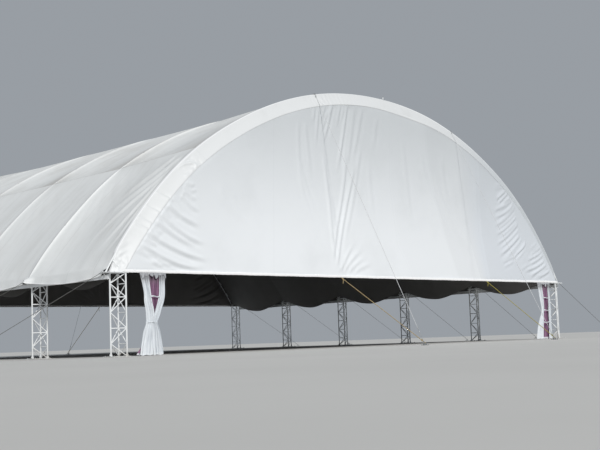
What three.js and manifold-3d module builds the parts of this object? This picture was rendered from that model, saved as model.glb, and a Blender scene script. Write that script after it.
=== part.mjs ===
// Arched membrane marquee: five bays of white tensioned cloth over six triangular lattice arches,
// open below the eaves, closed at both ends by a gable cloth above head height.
// Millimetres. X runs across the span, Y along the hall (front at -Y), Z up from the ground.
import * as THREE from 'three';
import { mergeVertices } from 'three/addons/utils/BufferGeometryUtils.js';
import Module from 'manifold-3d';

const wasm = await Module();
wasm.setup();

// Hall
const SPAN = 28500;
const EAVE = 2850;
const RISE = 8050;
const BAY = 5000;
const BAYS = 5;
const SEAT = 0.3;

// Lattice section, shared by arches and columns
const CHORD = 60;
const BAR = 36;
const BAR_SIDES = 3;
const TRUSS_DEPTH = 500;
const TRUSS_WIDTH = 475;
const ARCH_PANELS = 16;
const HAUNCH_PANEL = 3;
const CROWN_PURLIN_AT = 5.75;
const INNER_ARCH_DROP = 140;
const DROP_SHARES_FROM_FOOT = [0, 0.55];
const CHORD_RUN_ON = 0.12;
const STRUT_EVERY = 4;

// Columns and plates
const COLUMN_OUTER_X = 14030;
const COLUMN_DEPTH = 490;
const COLUMN_PANELS = 3;
const BASE_PLATE = { x: 700, y: 640, thick: 20 };
const CAP_THICK = 20;
const CAP_MARGIN = 45;
const FOOT_THICK = 20;
const FOOT_INNER_X = 13440;
const FOOT_OUTER_X = 14190;
const FOOT_HALF_Y = 267;
const LUG_REACH_X = 14360;
const LUG_HALF_Y = 40;

// Cloth
const CLOTH = 20;
const BAY_SAG = 260;
const SAG_BELOW_HAUNCH = 0.6;
const SAG_FULLNESS = 0.1;
const HEM_NOTCH = -100;
const HEM_AT_TIE = 120;
const HEM_DROP = 170;
const TIE_SHARE = 0.06;
const SEAT_HALF = CHORD / 2 + 2;
const SEAT_SHARE = SEAT_HALF / BAY;
const BAY_SHARES = [0, SEAT_SHARE, TIE_SHARE, 0.33, 0.67, 1 - TIE_SHARE, 1 - SEAT_SHARE, 1];
const BAND_LAP = 21;
const BAND_GAP = 1;
const BAND_EDGE_GAP = 0.5;
const BAND_RUN_ON = 0.3;
const GABLE_UNDERLAP = 2;
const FRONT_HEM = { height: 100, deep: 32 };

// Longitudinal members
const PURLIN = 60;
const PURLIN_END = 50;
const EAVE_BEAM = { width: 80, height: 150, top: 2790 };

// Stays
const END_LINES = [
  { name: 'left', ridgeX: -3700, hemX: -2800, anchorOut: 5200 },
  { name: 'right', ridgeX: 5500, hemX: 7400, anchorOut: 5000 },
];
const SIDE_ANCHOR_X = 19600;
const CABLE_RADIUS = 8;
const CABLE_SIDES = 5;
const ROPE_RADIUS = 12;
const RIDGE_LIFT = 30;
const SHACKLE = { half: 30, front: 60, back: 30, cover: 14, lift: 1 };
const HEAD_FORWARD = 45;
const LUG_TOP = 100;
const LUG_CATCH = 80;
const END_LUG = { halfX: 80, halfY: 30 };
const SIDE_LUG = { halfX: 30, halfY: 30 };
const ROPE_BESIDE_STAY = 80;
const ANCHOR_PLATE = { margin: 60, thick: 16 };

// Curtains at the front corners: shares of the width at each height, from the hem down
const CURTAIN_ROWS = [
  { z: null, deep: 70, left: 0.5, right: 0.48 },
  { z: 2300, deep: 110, left: 0.44, right: 0.45 },
  { z: 1700, deep: 110, left: 0.33, right: 0.41 },
  { z: 1200, deep: 95, left: 0.22, right: 0.39 },
  { z: 900, deep: 125, left: 0.31, right: 0.43 },
  { z: 400, deep: 150, left: 0.43, right: 0.48 },
  { z: 5, deep: 170, left: 0.47, right: 0.5 },
];
const CURTAIN_SIDES = 12;
const CURTAINS = [
  { name: 'left', x: -12480, width: 1120 },
  { name: 'right', x: 12250, width: 1280 },
];

// Derived arch circle
const HALF = SPAN / 2;
const RADIUS = (HALF * HALF + RISE * RISE) / (2 * RISE);
const CENTRE_Z = EAVE + RISE - RADIUS;
const HALF_ANGLE = Math.asin(HALF / RADIUS);
const STEP = (2 * HALF_ANGLE) / ARCH_PANELS;
const CHORD_OUTER_R = RADIUS - CLOTH - SEAT - CHORD / 2;
const CHORD_INNER_R = CHORD_OUTER_R - TRUSS_DEPTH;
const FRONT_Y = (-BAY * BAYS) / 2;
const ARCHES = BAYS + 1;
const COLUMN_TOP = EAVE + 10;
const FOOT_BASE = COLUMN_TOP + SEAT;
const FOOT_TOP = FOOT_BASE + FOOT_THICK;
const BAND_SLOPE = (TRUSS_WIDTH / 2 - SEAT) / (TRUSS_DEPTH - SEAT);
const GABLE_BACK = TRUSS_WIDTH / 2 + CHORD / 2 + 2 * SEAT;
const GABLE_EDGE_R = CHORD_INNER_R + CHORD / 2 - GABLE_UNDERLAP;
const HEM_MIDDLE = GABLE_BACK + FRONT_HEM.deep / 2;
const CURTAIN_TOP = COLUMN_TOP - SEAT;
const HELD_STATIONS = [0, HAUNCH_PANEL, CROWN_PURLIN_AT,
  ARCH_PANELS - CROWN_PURLIN_AT, ARCH_PANELS - HAUNCH_PANEL, ARCH_PANELS];
const ROOF_STATIONS = [...Array(ARCH_PANELS + 1).keys(), CROWN_PURLIN_AT, ARCH_PANELS - CROWN_PURLIN_AT]
  .sort((a, b) => a - b);

const UP = new THREE.Vector3(0, 0, 1);
const ACROSS = new THREE.Vector3(1, 0, 0);

const material = (color, roughness, metalness) =>
  new THREE.MeshStandardMaterial({ color, roughness, metalness, side: THREE.DoubleSide });
const whitePaint = () => material(0xe9ecee, 0.45, 0.2);
const cloth = () => material(0xe4e9ec, 0.55, 0);
const steel = () => material(0x9a9d9c, 0.4, 0.9);
const hemp = () => material(0xb4a25a, 0.85, 0);
const drape = () => material(0xe6e3ea, 0.8, 0);

const marquee = new THREE.Group();

// A point on the arch's cross-section: radius and angle from the crown, at a depth y.
const polar = (radius, angle, y) =>
  new THREE.Vector3(radius * Math.sin(angle), y, CENTRE_Z + radius * Math.cos(angle));

const station = (k) => -HALF_ANGLE + k * STEP;

// How far inside the end arches' circle the inner arches lie: nothing at the springings.
function innerDrop(k) {
  return INNER_ARCH_DROP * (DROP_SHARES_FROM_FOOT[Math.min(k, ARCH_PANELS - k)] ?? 1);
}

// The share of that drop at a depth y: 0 over an end arch, 1 from the next arch inwards.
function innerShare(y) {
  const fromEnd = Math.min(y - FRONT_Y, -FRONT_Y - y);
  return Math.min(1, Math.max(0, (fromEnd - SEAT_HALF) / (BAY - 2 * SEAT_HALF)));
}

// The point at a numbered station, with a share of the drop; past either springing the last
// panel runs straight on, by a share of its length.
function railPoint(radius, k, y, extra, inner = 0) {
  const at = (n) => polar(radius - inner * innerDrop(n), station(n), y);
  const base = at(k);
  if (k !== 0 && k !== ARCH_PANELS) return base;
  const next = at(k === 0 ? 1 : k - 1);
  return base.addScaledVector(new THREE.Vector3().subVectors(base, next), extra);
}

// The same at any place along the panels, which are straight.
function panelPoint(radius, k, y, inner) {
  const low = Math.floor(k);
  const next = Math.min(low + 1, ARCH_PANELS);
  return railPoint(radius, low, y, 0, inner).lerp(railPoint(radius, next, y, 0, inner), k - low);
}

// Half the clear width under the lowest panel of that radius, at a height z.
function railReach(radius, z) {
  const low = polar(radius, station(ARCH_PANELS), 0);
  const high = polar(radius, station(ARCH_PANELS - 1), 0);
  return low.x + ((z - low.z) / (high.z - low.z)) * (high.x - low.x);
}

function toManifold(geometry) {
  const bare = geometry.clone();
  for (const name of Object.keys(bare.attributes)) {
    if (name !== 'position') bare.deleteAttribute(name);
  }
  const merged = mergeVertices(bare, 1e-4);
  return new wasm.Manifold(new wasm.Mesh({
    numProp: 3,
    vertProperties: new Float32Array(merged.attributes.position.array),
    triVerts: new Uint32Array(merged.index.array),
  }));
}

function fromManifold(solid) {
  const mesh = solid.getMesh();
  const geometry = new THREE.BufferGeometry();
  geometry.setAttribute('position', new THREE.BufferAttribute(mesh.vertProperties, 3));
  geometry.setIndex(new THREE.BufferAttribute(mesh.triVerts, 1));
  geometry.computeVertexNormals();
  return geometry;
}

const fuse = (geometries) =>
  fromManifold(geometries.map(toManifold).reduce((sum, next) => sum.add(next)));

// Cuts away everything of a geometry that lies in a box.
function trim(geometry, low, high) {
  const size = new THREE.Vector3().subVectors(high, low);
  const box = new THREE.BoxGeometry(size.x, size.y, size.z);
  box.translate((low.x + high.x) / 2, (low.y + high.y) / 2, (low.z + high.z) / 2);
  return fromManifold(toManifold(geometry).subtract(toManifold(box)));
}

function box(x0, x1, y0, y1, z0, z1) {
  const geometry = new THREE.BoxGeometry(x1 - x0, y1 - y0, z1 - z0);
  geometry.translate((x0 + x1) / 2, (y0 + y1) / 2, (z0 + z1) / 2);
  return geometry;
}

function signedVolume(geometry) {
  const p = geometry.attributes.position;
  const at = (i) => new THREE.Vector3().fromBufferAttribute(p, geometry.index.getX(i));
  let sum = 0;
  for (let i = 0; i < geometry.index.count; i += 3) sum += at(i).dot(at(i + 1).cross(at(i + 2)));
  return sum / 6;
}

// A straight bar between two points with a regular section of a few sides.
function bar(from, to, radius, sides) {
  const axis = new THREE.Vector3().subVectors(to, from);
  const geometry = new THREE.CylinderGeometry(radius, radius, axis.length(), sides);
  const turn = new THREE.Quaternion().setFromUnitVectors(new THREE.Vector3(0, 1, 0), axis.normalize());
  geometry.applyQuaternion(turn);
  geometry.translate((from.x + to.x) / 2, (from.y + to.y) / 2, (from.z + to.z) / 2);
  return geometry;
}

// A straight bar whose two ends are cut square to a given axis, so that they lie flat on a face.
function slantedBar(from, to, radius, cut) {
  const first = new THREE.Vector3(0, 1, 0);
  const second = new THREE.Vector3().crossVectors(cut, first);
  const ring = (centre) => [...Array(CABLE_SIDES).keys()].map((i) => {
    const turn = (2 * Math.PI * i) / CABLE_SIDES;
    return centre.clone()
      .addScaledVector(first, radius * Math.cos(turn))
      .addScaledVector(second, radius * Math.sin(turn));
  });
  return loft([ring(from), ring(to)]);
}

// A closed solid from rings of points: each ring has the same count, the ends are fans.
function loft(rings) {
  const count = rings[0].length;
  const positions = rings.flat().flatMap((p) => [p.x, p.y, p.z]);
  const index = [];
  for (let r = 0; r < rings.length - 1; r += 1) {
    for (let i = 0; i < count; i += 1) {
      const a = r * count + i;
      const b = r * count + ((i + 1) % count);
      index.push(a, b, a + count, b, b + count, a + count);
    }
  }
  const last = (rings.length - 1) * count;
  for (let i = 1; i < count - 1; i += 1) {
    index.push(0, i + 1, i);
    index.push(last, last + i, last + i + 1);
  }
  const geometry = new THREE.BufferGeometry();
  geometry.setAttribute('position', new THREE.Float32BufferAttribute(positions, 3));
  geometry.setIndex(index);
  if (signedVolume(geometry) < 0) {
    for (let i = 0; i < index.length; i += 3) {
      [index[i + 1], index[i + 2]] = [index[i + 2], index[i + 1]];
    }
    geometry.setIndex(index);
  }
  geometry.computeVertexNormals();
  return geometry;
}

// A closed sheet: an outer and an inner grid of points, joined by a skirt round the edge.
function sheet(outer, inner, columns, rows) {
  const points = [];
  for (const face of [outer, inner]) {
    for (let j = 0; j <= rows; j += 1) {
      for (let i = 0; i <= columns; i += 1) points.push(face(i, j));
    }
  }
  const across = columns + 1;
  const layer = across * (rows + 1);
  const index = [];
  const quad = (a, b, c, d) => index.push(a, b, c, a, c, d);
  for (let j = 0; j < rows; j += 1) {
    for (let i = 0; i < columns; i += 1) {
      const a = j * across + i;
      quad(a, a + 1, a + across + 1, a + across);
      quad(layer + a, layer + a + across, layer + a + across + 1, layer + a + 1);
    }
  }
  const edge = [];
  for (let i = 0; i < columns; i += 1) edge.push(i);
  for (let j = 0; j < rows; j += 1) edge.push(j * across + columns);
  for (let i = columns; i > 0; i -= 1) edge.push(rows * across + i);
  for (let j = rows; j > 0; j -= 1) edge.push(j * across);
  edge.forEach((a, n) => {
    const b = edge[(n + 1) % edge.length];
    quad(b, a, layer + a, layer + b);
  });
  const geometry = new THREE.BufferGeometry();
  geometry.setAttribute('position', new THREE.Float32BufferAttribute(points.flatMap((p) => [p.x, p.y, p.z]), 3));
  geometry.setIndex(index);
  geometry.computeVertexNormals();
  return geometry;
}

function add(group, name, geometry, finish) {
  const mesh = new THREE.Mesh(geometry, finish);
  mesh.name = name;
  group.add(mesh);
  return mesh;
}

// A lattice arch at y = 0: one outer chord, two inner chords, and zigzag bars between them.
// Inner is 0 for an end arch and 1 for the others.
function archGeometry(inner) {
  const half = TRUSS_WIDTH / 2;
  const chord = (radius, y) => {
    const rings = [];
    for (let k = 0; k <= ARCH_PANELS; k += 1) {
      rings.push([
        railPoint(radius - CHORD / 2, k, y - CHORD / 2, CHORD_RUN_ON, inner),
        railPoint(radius + CHORD / 2, k, y - CHORD / 2, CHORD_RUN_ON, inner),
        railPoint(radius + CHORD / 2, k, y + CHORD / 2, CHORD_RUN_ON, inner),
        railPoint(radius - CHORD / 2, k, y + CHORD / 2, CHORD_RUN_ON, inner),
      ]);
    }
    return loft(rings);
  };
  const pieces = [chord(CHORD_OUTER_R, 0), chord(CHORD_INNER_R, -half), chord(CHORD_INNER_R, half)];
  const high = (k) => railPoint(CHORD_OUTER_R, k, 0, 0, inner);
  const low = (k, side) => railPoint(CHORD_INNER_R, k, side * half, 0, inner);
  for (let k = 0; k < ARCH_PANELS; k += 1) {
    for (const side of [-1, 1]) {
      const rising = k % 2 === 0;
      const from = rising ? high(k) : low(k, side);
      const to = rising ? low(k + 1, side) : high(k + 1);
      pieces.push(bar(from, to, BAR / 2, BAR_SIDES));
    }
    if (k % STRUT_EVERY === STRUT_EVERY - 1) {
      pieces.push(bar(low(k, -1), low(k, 1), BAR / 2, BAR_SIDES));
    }
  }
  const below = new THREE.Vector3(SPAN, BAY, FOOT_BASE + FOOT_THICK / 2);
  const solid = trim(fuse(pieces), new THREE.Vector3(-SPAN, -BAY, -BAY), below);
  const feet = [];
  for (const side of [-1, 1]) {
    const plate = [side * FOOT_INNER_X, side * FOOT_OUTER_X].sort((a, b) => a - b);
    const lug = [side * FOOT_INNER_X, side * LUG_REACH_X].sort((a, b) => a - b);
    feet.push(box(...plate, -FOOT_HALF_Y, FOOT_HALF_Y, FOOT_BASE, FOOT_TOP));
    feet.push(box(...lug, -LUG_HALF_Y, LUG_HALF_Y, FOOT_BASE, FOOT_TOP));
  }
  return fuse([solid, ...feet]);
}

// A lattice column at y = 0 on the side given by the sign, from its base plate to its cap plate.
function columnGeometry(side) {
  const outerX = side * COLUMN_OUTER_X;
  const innerX = side * (COLUMN_OUTER_X - COLUMN_DEPTH);
  const half = TRUSS_WIDTH / 2;
  const top = COLUMN_TOP - CAP_THICK / 2;
  const bottom = BASE_PLATE.thick / 2;
  const feet = [
    [outerX, 0],
    [innerX, -half],
    [innerX, half],
  ];
  const pieces = feet.map(([x, y]) =>
    box(x - CHORD / 2, x + CHORD / 2, y - CHORD / 2, y + CHORD / 2, bottom, top));
  const middleX = (outerX + innerX) / 2;
  pieces.push(box(middleX - BASE_PLATE.x / 2, middleX + BASE_PLATE.x / 2,
    -BASE_PLATE.y / 2, BASE_PLATE.y / 2, 0, BASE_PLATE.thick));
  const capX = [side * FOOT_INNER_X, side * FOOT_OUTER_X].sort((a, b) => a - b);
  pieces.push(box(...capX, -half - CAP_MARGIN, half + CAP_MARGIN, COLUMN_TOP - CAP_THICK, COLUMN_TOP));
  const panel = (top - bottom) / COLUMN_PANELS;
  for (let k = 0; k < COLUMN_PANELS; k += 1) {
    const low = bottom + k * panel;
    for (const y of [-half, half]) {
      const from = new THREE.Vector3(k % 2 === 0 ? innerX : outerX, k % 2 === 0 ? y : 0, low);
      const to = new THREE.Vector3(k % 2 === 0 ? outerX : innerX, k % 2 === 0 ? 0 : y, low + panel);
      pieces.push(bar(from, to, BAR / 2, BAR_SIDES));
    }
    if (k > 0) {
      const across = [-half, half].map((y) => new THREE.Vector3(innerX, y, low));
      pieces.push(bar(...across, BAR / 2, BAR_SIDES));
    }
  }
  return fuse(pieces);
}

// How far the cloth hangs inside the arches: nothing over an arch or a purlin, and nearly the
// full sag soon beside the purlins.
function sagAt(k, share) {
  const free = Math.max(0, (Math.min(share, 1 - share) - SEAT_SHARE) / (0.5 - SEAT_SHARE));
  const lengthwise = free * (2 - free);
  const next = HELD_STATIONS.findIndex((held) => held >= k);
  if (HELD_STATIONS[next] === k) return 0;
  const start = HELD_STATIONS[next - 1];
  const hang = Math.sin((Math.PI * (k - start)) / (HELD_STATIONS[next] - start));
  const outermost = start === 0 || HELD_STATIONS[next] === ARCH_PANELS;
  return BAY_SAG * lengthwise * (outermost ? hang * SAG_BELOW_HAUNCH : hang ** SAG_FULLNESS);
}

// One bay of roof cloth between two arches, scalloped along both eaves.
function roofBayGeometry(index) {
  const start = FRONT_Y + index * BAY;
  const first = index === 0 ? start - BAND_LAP : start + SEAT / 2;
  const last = index === BAYS - 1 ? start + BAY + BAND_LAP : start + BAY - SEAT / 2;
  const along = BAY_SHARES.map((share) => start + share * BAY);
  along[0] = first;
  along[along.length - 1] = last;
  const below = (share) => {
    if (share < TIE_SHARE || share > 1 - TIE_SHARE) return HEM_NOTCH;
    return HEM_AT_TIE + HEM_DROP * 4 * share * (1 - share);
  };
  const point = (i, j, inset) => {
    const share = BAY_SHARES[j];
    const k = ROOF_STATIONS[i];
    const radius = RADIUS - inset - sagAt(k, share);
    const edge = k === 0 ? -1 : k === ARCH_PANELS ? 1 : 0;
    const inner = innerShare(along[j]);
    const base = panelPoint(radius, k, along[j], inner);
    if (edge === 0) return base;
    const next = panelPoint(radius, k - edge, along[j], inner);
    const down = new THREE.Vector3().subVectors(base, next).normalize();
    return base.addScaledVector(down, below(share));
  };
  return sheet(
    (i, j) => point(i, j, 0),
    (i, j) => point(i, j, CLOTH),
    ROOF_STATIONS.length - 1,
    BAY_SHARES.length - 1,
  );
}

// The bevelled band that closes the front face of an end arch, at y = 0 facing -Y.
function bandGeometry() {
  const length = Math.hypot(1, BAND_SLOPE);
  const lift = { r: (BAND_SLOPE / length) * CLOTH, w: (1 / length) * CLOTH };
  const innerW = (r) => CHORD / 2 + BAND_GAP + (RADIUS - CLOTH - r) * BAND_SLOPE;
  const outerW = (r) => innerW(r - lift.r) + lift.w;
  const low = GABLE_EDGE_R + BAND_EDGE_GAP;
  const rings = [];
  for (let k = 0; k <= ARCH_PANELS; k += 1) {
    rings.push([
      railPoint(low, k, -innerW(low), BAND_RUN_ON),
      railPoint(low, k, -outerW(low), BAND_RUN_ON),
      railPoint(RADIUS, k, -outerW(RADIUS), BAND_RUN_ON),
      railPoint(RADIUS, k, -innerW(RADIUS), BAND_RUN_ON),
    ]);
  }
  const below = new THREE.Vector3(SPAN, BAY, FOOT_TOP + SEAT);
  return trim(loft(rings), new THREE.Vector3(-SPAN, -BAY, -BAY), below);
}

// The gable cloth: the upright segment under an end arch, at y = 0 facing -Y.
function gableGeometry() {
  const bottom = COLUMN_TOP + FRONT_HEM.height + SEAT;
  const outline = new THREE.Shape();
  const corner = railReach(GABLE_EDGE_R, bottom) - SEAT;
  outline.moveTo(-corner, bottom);
  outline.lineTo(corner, bottom);
  for (let k = ARCH_PANELS - 1; k > 0; k -= 1) {
    const p = polar(GABLE_EDGE_R, station(k), 0);
    outline.lineTo(p.x, p.z);
  }
  outline.closePath();
  const geometry = new THREE.ExtrudeGeometry(outline, { depth: CLOTH, bevelEnabled: false });
  geometry.rotateX(Math.PI / 2);
  geometry.translate(0, -GABLE_BACK, 0);
  return geometry;
}

function hemGeometry() {
  const top = COLUMN_TOP + FRONT_HEM.height;
  const reach = railReach(GABLE_EDGE_R, top) - SEAT;
  return box(-reach, reach, -GABLE_BACK - FRONT_HEM.deep, -GABLE_BACK, COLUMN_TOP, top);
}

// A ground anchor: a plate on the ground with an upright lug, centred on x, y.
function anchorGeometry(x, y, { halfX, halfY }) {
  const { margin, thick } = ANCHOR_PLATE;
  return fuse([
    box(x - halfX - margin, x + halfX + margin, y - halfY - margin, y + halfY + margin, 0, thick),
    box(x - halfX, x + halfX, y - halfY, y + halfY, thick / 2, LUG_TOP),
  ]);
}

// The two steel stays of an end arch, each fused to its ground anchor, and the two ropes that
// hold the gable hem down to the same anchors, at y = 0 facing -Y.
function endStays(group, prefix) {
  for (const line of END_LINES) {
    const inward = Math.sign(line.hemX - line.ridgeX) * ROPE_BESIDE_STAY;
    const ridgeZ = CENTRE_Z + Math.sqrt((RADIUS + RIDGE_LIFT) ** 2 - line.ridgeX ** 2);
    const highSide = Math.abs(line.ridgeX) - SHACKLE.half;
    const ridgeTop = CENTRE_Z + Math.sqrt(RADIUS ** 2 - highSide ** 2) + SHACKLE.lift;
    const head = new THREE.Vector3(line.ridgeX, -HEAD_FORWARD, ridgeZ);
    const foot = new THREE.Vector3(line.ridgeX, -line.anchorOut, LUG_CATCH);
    const shackle = box(line.ridgeX - SHACKLE.half, line.ridgeX + SHACKLE.half,
      -SHACKLE.front, SHACKLE.back, ridgeTop, ridgeZ + SHACKLE.cover);
    const anchor = anchorGeometry(line.ridgeX + inward / 2, -line.anchorOut, END_LUG);
    const cable = fuse([bar(head, foot, CABLE_RADIUS, CABLE_SIDES), shackle, anchor]);
    add(group, `${prefix}_cable_${line.name}`, cable, steel());

    const hemPoint = new THREE.Vector3(line.hemX, -HEM_MIDDLE, COLUMN_TOP - SEAT);
    const ropeFoot = new THREE.Vector3(line.ridgeX + inward, -line.anchorOut, LUG_TOP + SEAT);
    const rope = slantedBar(hemPoint, ropeFoot, ROPE_RADIUS, UP);
    add(group, `${prefix}_rope_${line.name}`, rope, hemp());
  }
}

// The side stays, one in the plane of each arch on both long sides, each fused to its anchor.
function sideStays(side, name) {
  for (let k = 0; k < ARCHES; k += 1) {
    const head = new THREE.Vector3(side * (LUG_REACH_X + SEAT), 0, (FOOT_BASE + FOOT_TOP) / 2);
    const foot = new THREE.Vector3(side * SIDE_ANCHOR_X, 0, LUG_CATCH);
    const cable = slantedBar(head, foot, CABLE_RADIUS, ACROSS);
    const stay = fuse([cable, anchorGeometry(side * SIDE_ANCHOR_X, 0, SIDE_LUG)]);
    add(marquee, `side_stay_${name}_${k + 1}`, stay, steel()).position.y = FRONT_Y + k * BAY;
  }
}

// A gathered curtain: elliptical rings from the hem to the ground, drawn in at the tie.
function curtainGeometry({ name, x, width }) {
  const rings = CURTAIN_ROWS.map((row) => [...Array(CURTAIN_SIDES).keys()].map((i) => {
    const turn = (2 * Math.PI * i) / CURTAIN_SIDES;
    return new THREE.Vector3(
      x + row[name] * width * Math.cos(turn),
      FRONT_Y - HEM_MIDDLE + row.deep * Math.sin(turn),
      row.z ?? CURTAIN_TOP,
    );
  }));
  return loft(rings);
}

// A square tube under the outer chords of all arches, at a station or lying flat under a panel.
function purlinGeometry(side, k) {
  const underCorner = Number.isInteger(k);
  const lean = station(underCorner ? k : Math.floor(k) + 0.5);
  const out = new THREE.Vector3(Math.sin(lean), 0, Math.cos(lean));
  const along = new THREE.Vector3(out.z, 0, -out.x);
  const depth = CHORD / 2 + SEAT + (underCorner ? (PURLIN / 2) * Math.tan(STEP / 2) : 0);
  const bends = [-PURLIN_END, SEAT_HALF, BAY - SEAT_HALF].map((reach) => FRONT_Y + reach);
  const rings = [...bends, ...bends.map((y) => -y).reverse()].map((y) => {
    const middle = panelPoint(CHORD_OUTER_R, k, y, innerShare(y)).addScaledVector(out, -depth - PURLIN / 2);
    return [[-1, -1], [-1, 1], [1, 1], [1, -1]].map(([a, b]) => {
      const corner = middle.clone()
        .addScaledVector(along, (a * PURLIN) / 2)
        .addScaledVector(out, (b * PURLIN) / 2);
      corner.x *= -side;
      return corner;
    });
  });
  return loft(rings);
}

// Columns and arches
const endArch = archGeometry(0);
const innerArch = archGeometry(1);
const columnShapes = { left: columnGeometry(-1), right: columnGeometry(1) };
for (let k = 0; k < ARCHES; k += 1) {
  const y = FRONT_Y + k * BAY;
  for (const side of ['left', 'right']) {
    add(marquee, `column_${side}_${k + 1}`, columnShapes[side], whitePaint()).position.y = y;
  }
  const shape = k === 0 || k === ARCHES - 1 ? endArch : innerArch;
  add(marquee, `arch_${k + 1}`, shape, whitePaint()).position.y = y;
}

// Roof cloth
for (let index = 0; index < BAYS; index += 1) {
  add(marquee, `roof_bay_${index + 1}`, roofBayGeometry(index), cloth());
}

// Purlins at the haunches and near the crown, and eave beams outside the columns
for (const [name, side] of [['left', -1], ['right', 1]]) {
  add(marquee, `haunch_purlin_${name}`, purlinGeometry(side, HAUNCH_PANEL), whitePaint());
  add(marquee, `crown_purlin_${name}`, purlinGeometry(side, CROWN_PURLIN_AT), whitePaint());
  const face = COLUMN_OUTER_X + CHORD / 2 + SEAT;
  const reach = [side * face, side * (face + EAVE_BEAM.width)].sort((a, b) => a - b);
  const beam = box(...reach, FRONT_Y - PURLIN_END, -FRONT_Y + PURLIN_END,
    EAVE_BEAM.top - EAVE_BEAM.height, EAVE_BEAM.top);
  add(marquee, `eave_beam_${name}`, beam, whitePaint());
}

// Both ends: the rear is the front turned half round
for (const [prefix, turn, y] of [['front', 0, FRONT_Y], ['rear', Math.PI, -FRONT_Y]]) {
  const end = new THREE.Group();
  end.position.y = y;
  end.rotation.z = turn;
  add(end, `${prefix}_band`, bandGeometry(), cloth());
  add(end, `${prefix}_gable`, gableGeometry(), cloth());
  add(end, `${prefix}_hem`, hemGeometry(), cloth());
  endStays(end, prefix);
  marquee.add(end);
}

sideStays(-1, 'left');
sideStays(1, 'right');

for (const curtain of CURTAINS) {
  add(marquee, `curtain_${curtain.name}`, curtainGeometry(curtain), drape());
}

export default marquee;
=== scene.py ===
import math

import bpy
import numpy as np
from mathutils import Matrix, Vector


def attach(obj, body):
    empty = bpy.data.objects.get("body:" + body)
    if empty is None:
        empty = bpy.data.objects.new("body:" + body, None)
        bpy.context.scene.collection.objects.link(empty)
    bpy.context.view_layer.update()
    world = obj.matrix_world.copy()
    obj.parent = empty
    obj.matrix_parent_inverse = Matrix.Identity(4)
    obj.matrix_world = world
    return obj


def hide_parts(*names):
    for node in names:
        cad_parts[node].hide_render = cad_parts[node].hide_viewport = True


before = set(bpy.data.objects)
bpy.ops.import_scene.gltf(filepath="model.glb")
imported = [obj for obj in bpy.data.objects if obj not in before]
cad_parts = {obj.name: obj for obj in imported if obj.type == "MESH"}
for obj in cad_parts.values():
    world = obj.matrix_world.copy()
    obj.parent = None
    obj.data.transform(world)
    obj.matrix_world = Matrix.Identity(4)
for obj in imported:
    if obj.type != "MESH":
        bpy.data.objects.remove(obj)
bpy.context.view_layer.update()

# Sizes of the hall, in metres, the same as the solids have
SPAN, EAVE, RISE = 28.5, 2.85, 8.05
BAY, BAYS = 5.0, 5
ARCHES = BAYS + 1
RADIUS = ((SPAN / 2) ** 2 + RISE ** 2) / (2 * RISE)
CENTRE_Z = EAVE + RISE - RADIUS
HALF_ANGLE = math.asin(SPAN / 2 / RADIUS)
FRONT_Y = -BAY * BAYS / 2
# the crease over the haunch purlins and the crown purlins, as angles from the crown
HAUNCH, CROWN_PURLIN = HALF_ANGLE * (1 - 2 * 3 / 16), HALF_ANGLE * (1 - 2 * 5.75 / 16)
# how much lower an inner arch lies, how deep a bay sags, half the width of cloth on an arch, and
# the distance between the roof cloth's welds
INNER_DROP, BAY_SAG, SEAT, PANEL = 0.14, 0.26, 0.032, 1.6667
# radii of chords and bars; an arch's depth, half its width, and its outer chord under the outline
CHORD, BAR = 0.030, 0.018
TRUSS_DEPTH, TRUSS_HALF, CHORD_DROP = 0.5, 0.2375, 0.036
# a column's outer chord, its depth, and its cap; an arch's foot plate on the cap, with the lug
COLUMN_X, COLUMN_DEPTH, CAP_UNDER, COLUMN_TOP = 14.03, 0.49, 2.84, 2.86
FOOT_X, FOOT_TOP, LUG_X = (13.44, 14.19), 2.8803, 14.36
# the gable's edge and the ceiling drape under the outline; gable and hem ahead of the end arch
GABLE_DROP, CEILING_DROP = 0.522, 0.61
GABLE_Y, HEM_Y, HEM_TOP = -0.283, -0.284, 2.96
# at each end: name, x on the ridge and on the hem, how far out the anchor stands
END_LINES = (("left", -3.7, -2.8, 5.2), ("right", 5.5, 7.4, 5.0))
# the side anchors, and the height at which a line meets any anchor
SIDE_ANCHOR_X, LUG_Z = 19.6, 0.075
SIDES = ((-1, "left"), (1, "right"))
UP, AHEAD = np.array([0.0, 0.0, 1.0]), np.array([0.0, -1.0, 0.0])


def put(name, data):
    """A new object at the origin, in the scene."""
    made = bpy.data.objects.new(name, data)
    bpy.context.scene.collection.objects.link(made)
    return made


# the photograph's camera, fitted to the arches, ridges and column feet, and its size in pixels
EYE, LENS, SENSOR = np.array([-35.11, -42.78, 0.294]), 64.2, 36
PICTURE = np.array([600, 450])


def camera_axes():
    """Right, above and ahead of the camera: yaw and pitch give the line of sight, and roll turns the
    picture about it."""
    yaw, pitch, roll = (math.radians(v) for v in (45.03, 6.22, -2.03))
    ahead = np.array([math.sin(yaw) * math.cos(pitch), math.cos(yaw) * math.cos(pitch), math.sin(pitch)])
    level = np.array([math.cos(yaw), -math.sin(yaw), 0.0])
    over = np.cross(level, ahead)
    right = math.cos(roll) * level + math.sin(roll) * over
    above = -math.sin(roll) * level + math.cos(roll) * over
    return right, above, ahead


def place_camera():
    """Pinhole camera at the photograph's place, its three axes the columns of its rotation."""
    right, above, ahead = camera_axes()
    data = bpy.data.cameras.new("camera")
    data.sensor_width = SENSOR
    data.lens = LENS
    data.clip_end = 2000
    camera = put("camera", data)
    turn = Matrix([[right[i], above[i], -ahead[i]] for i in range(3)]).to_4x4()
    camera.matrix_world = Matrix.Translation(EYE) @ turn
    bpy.context.scene.camera = camera


place_camera()


# Finishes

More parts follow.
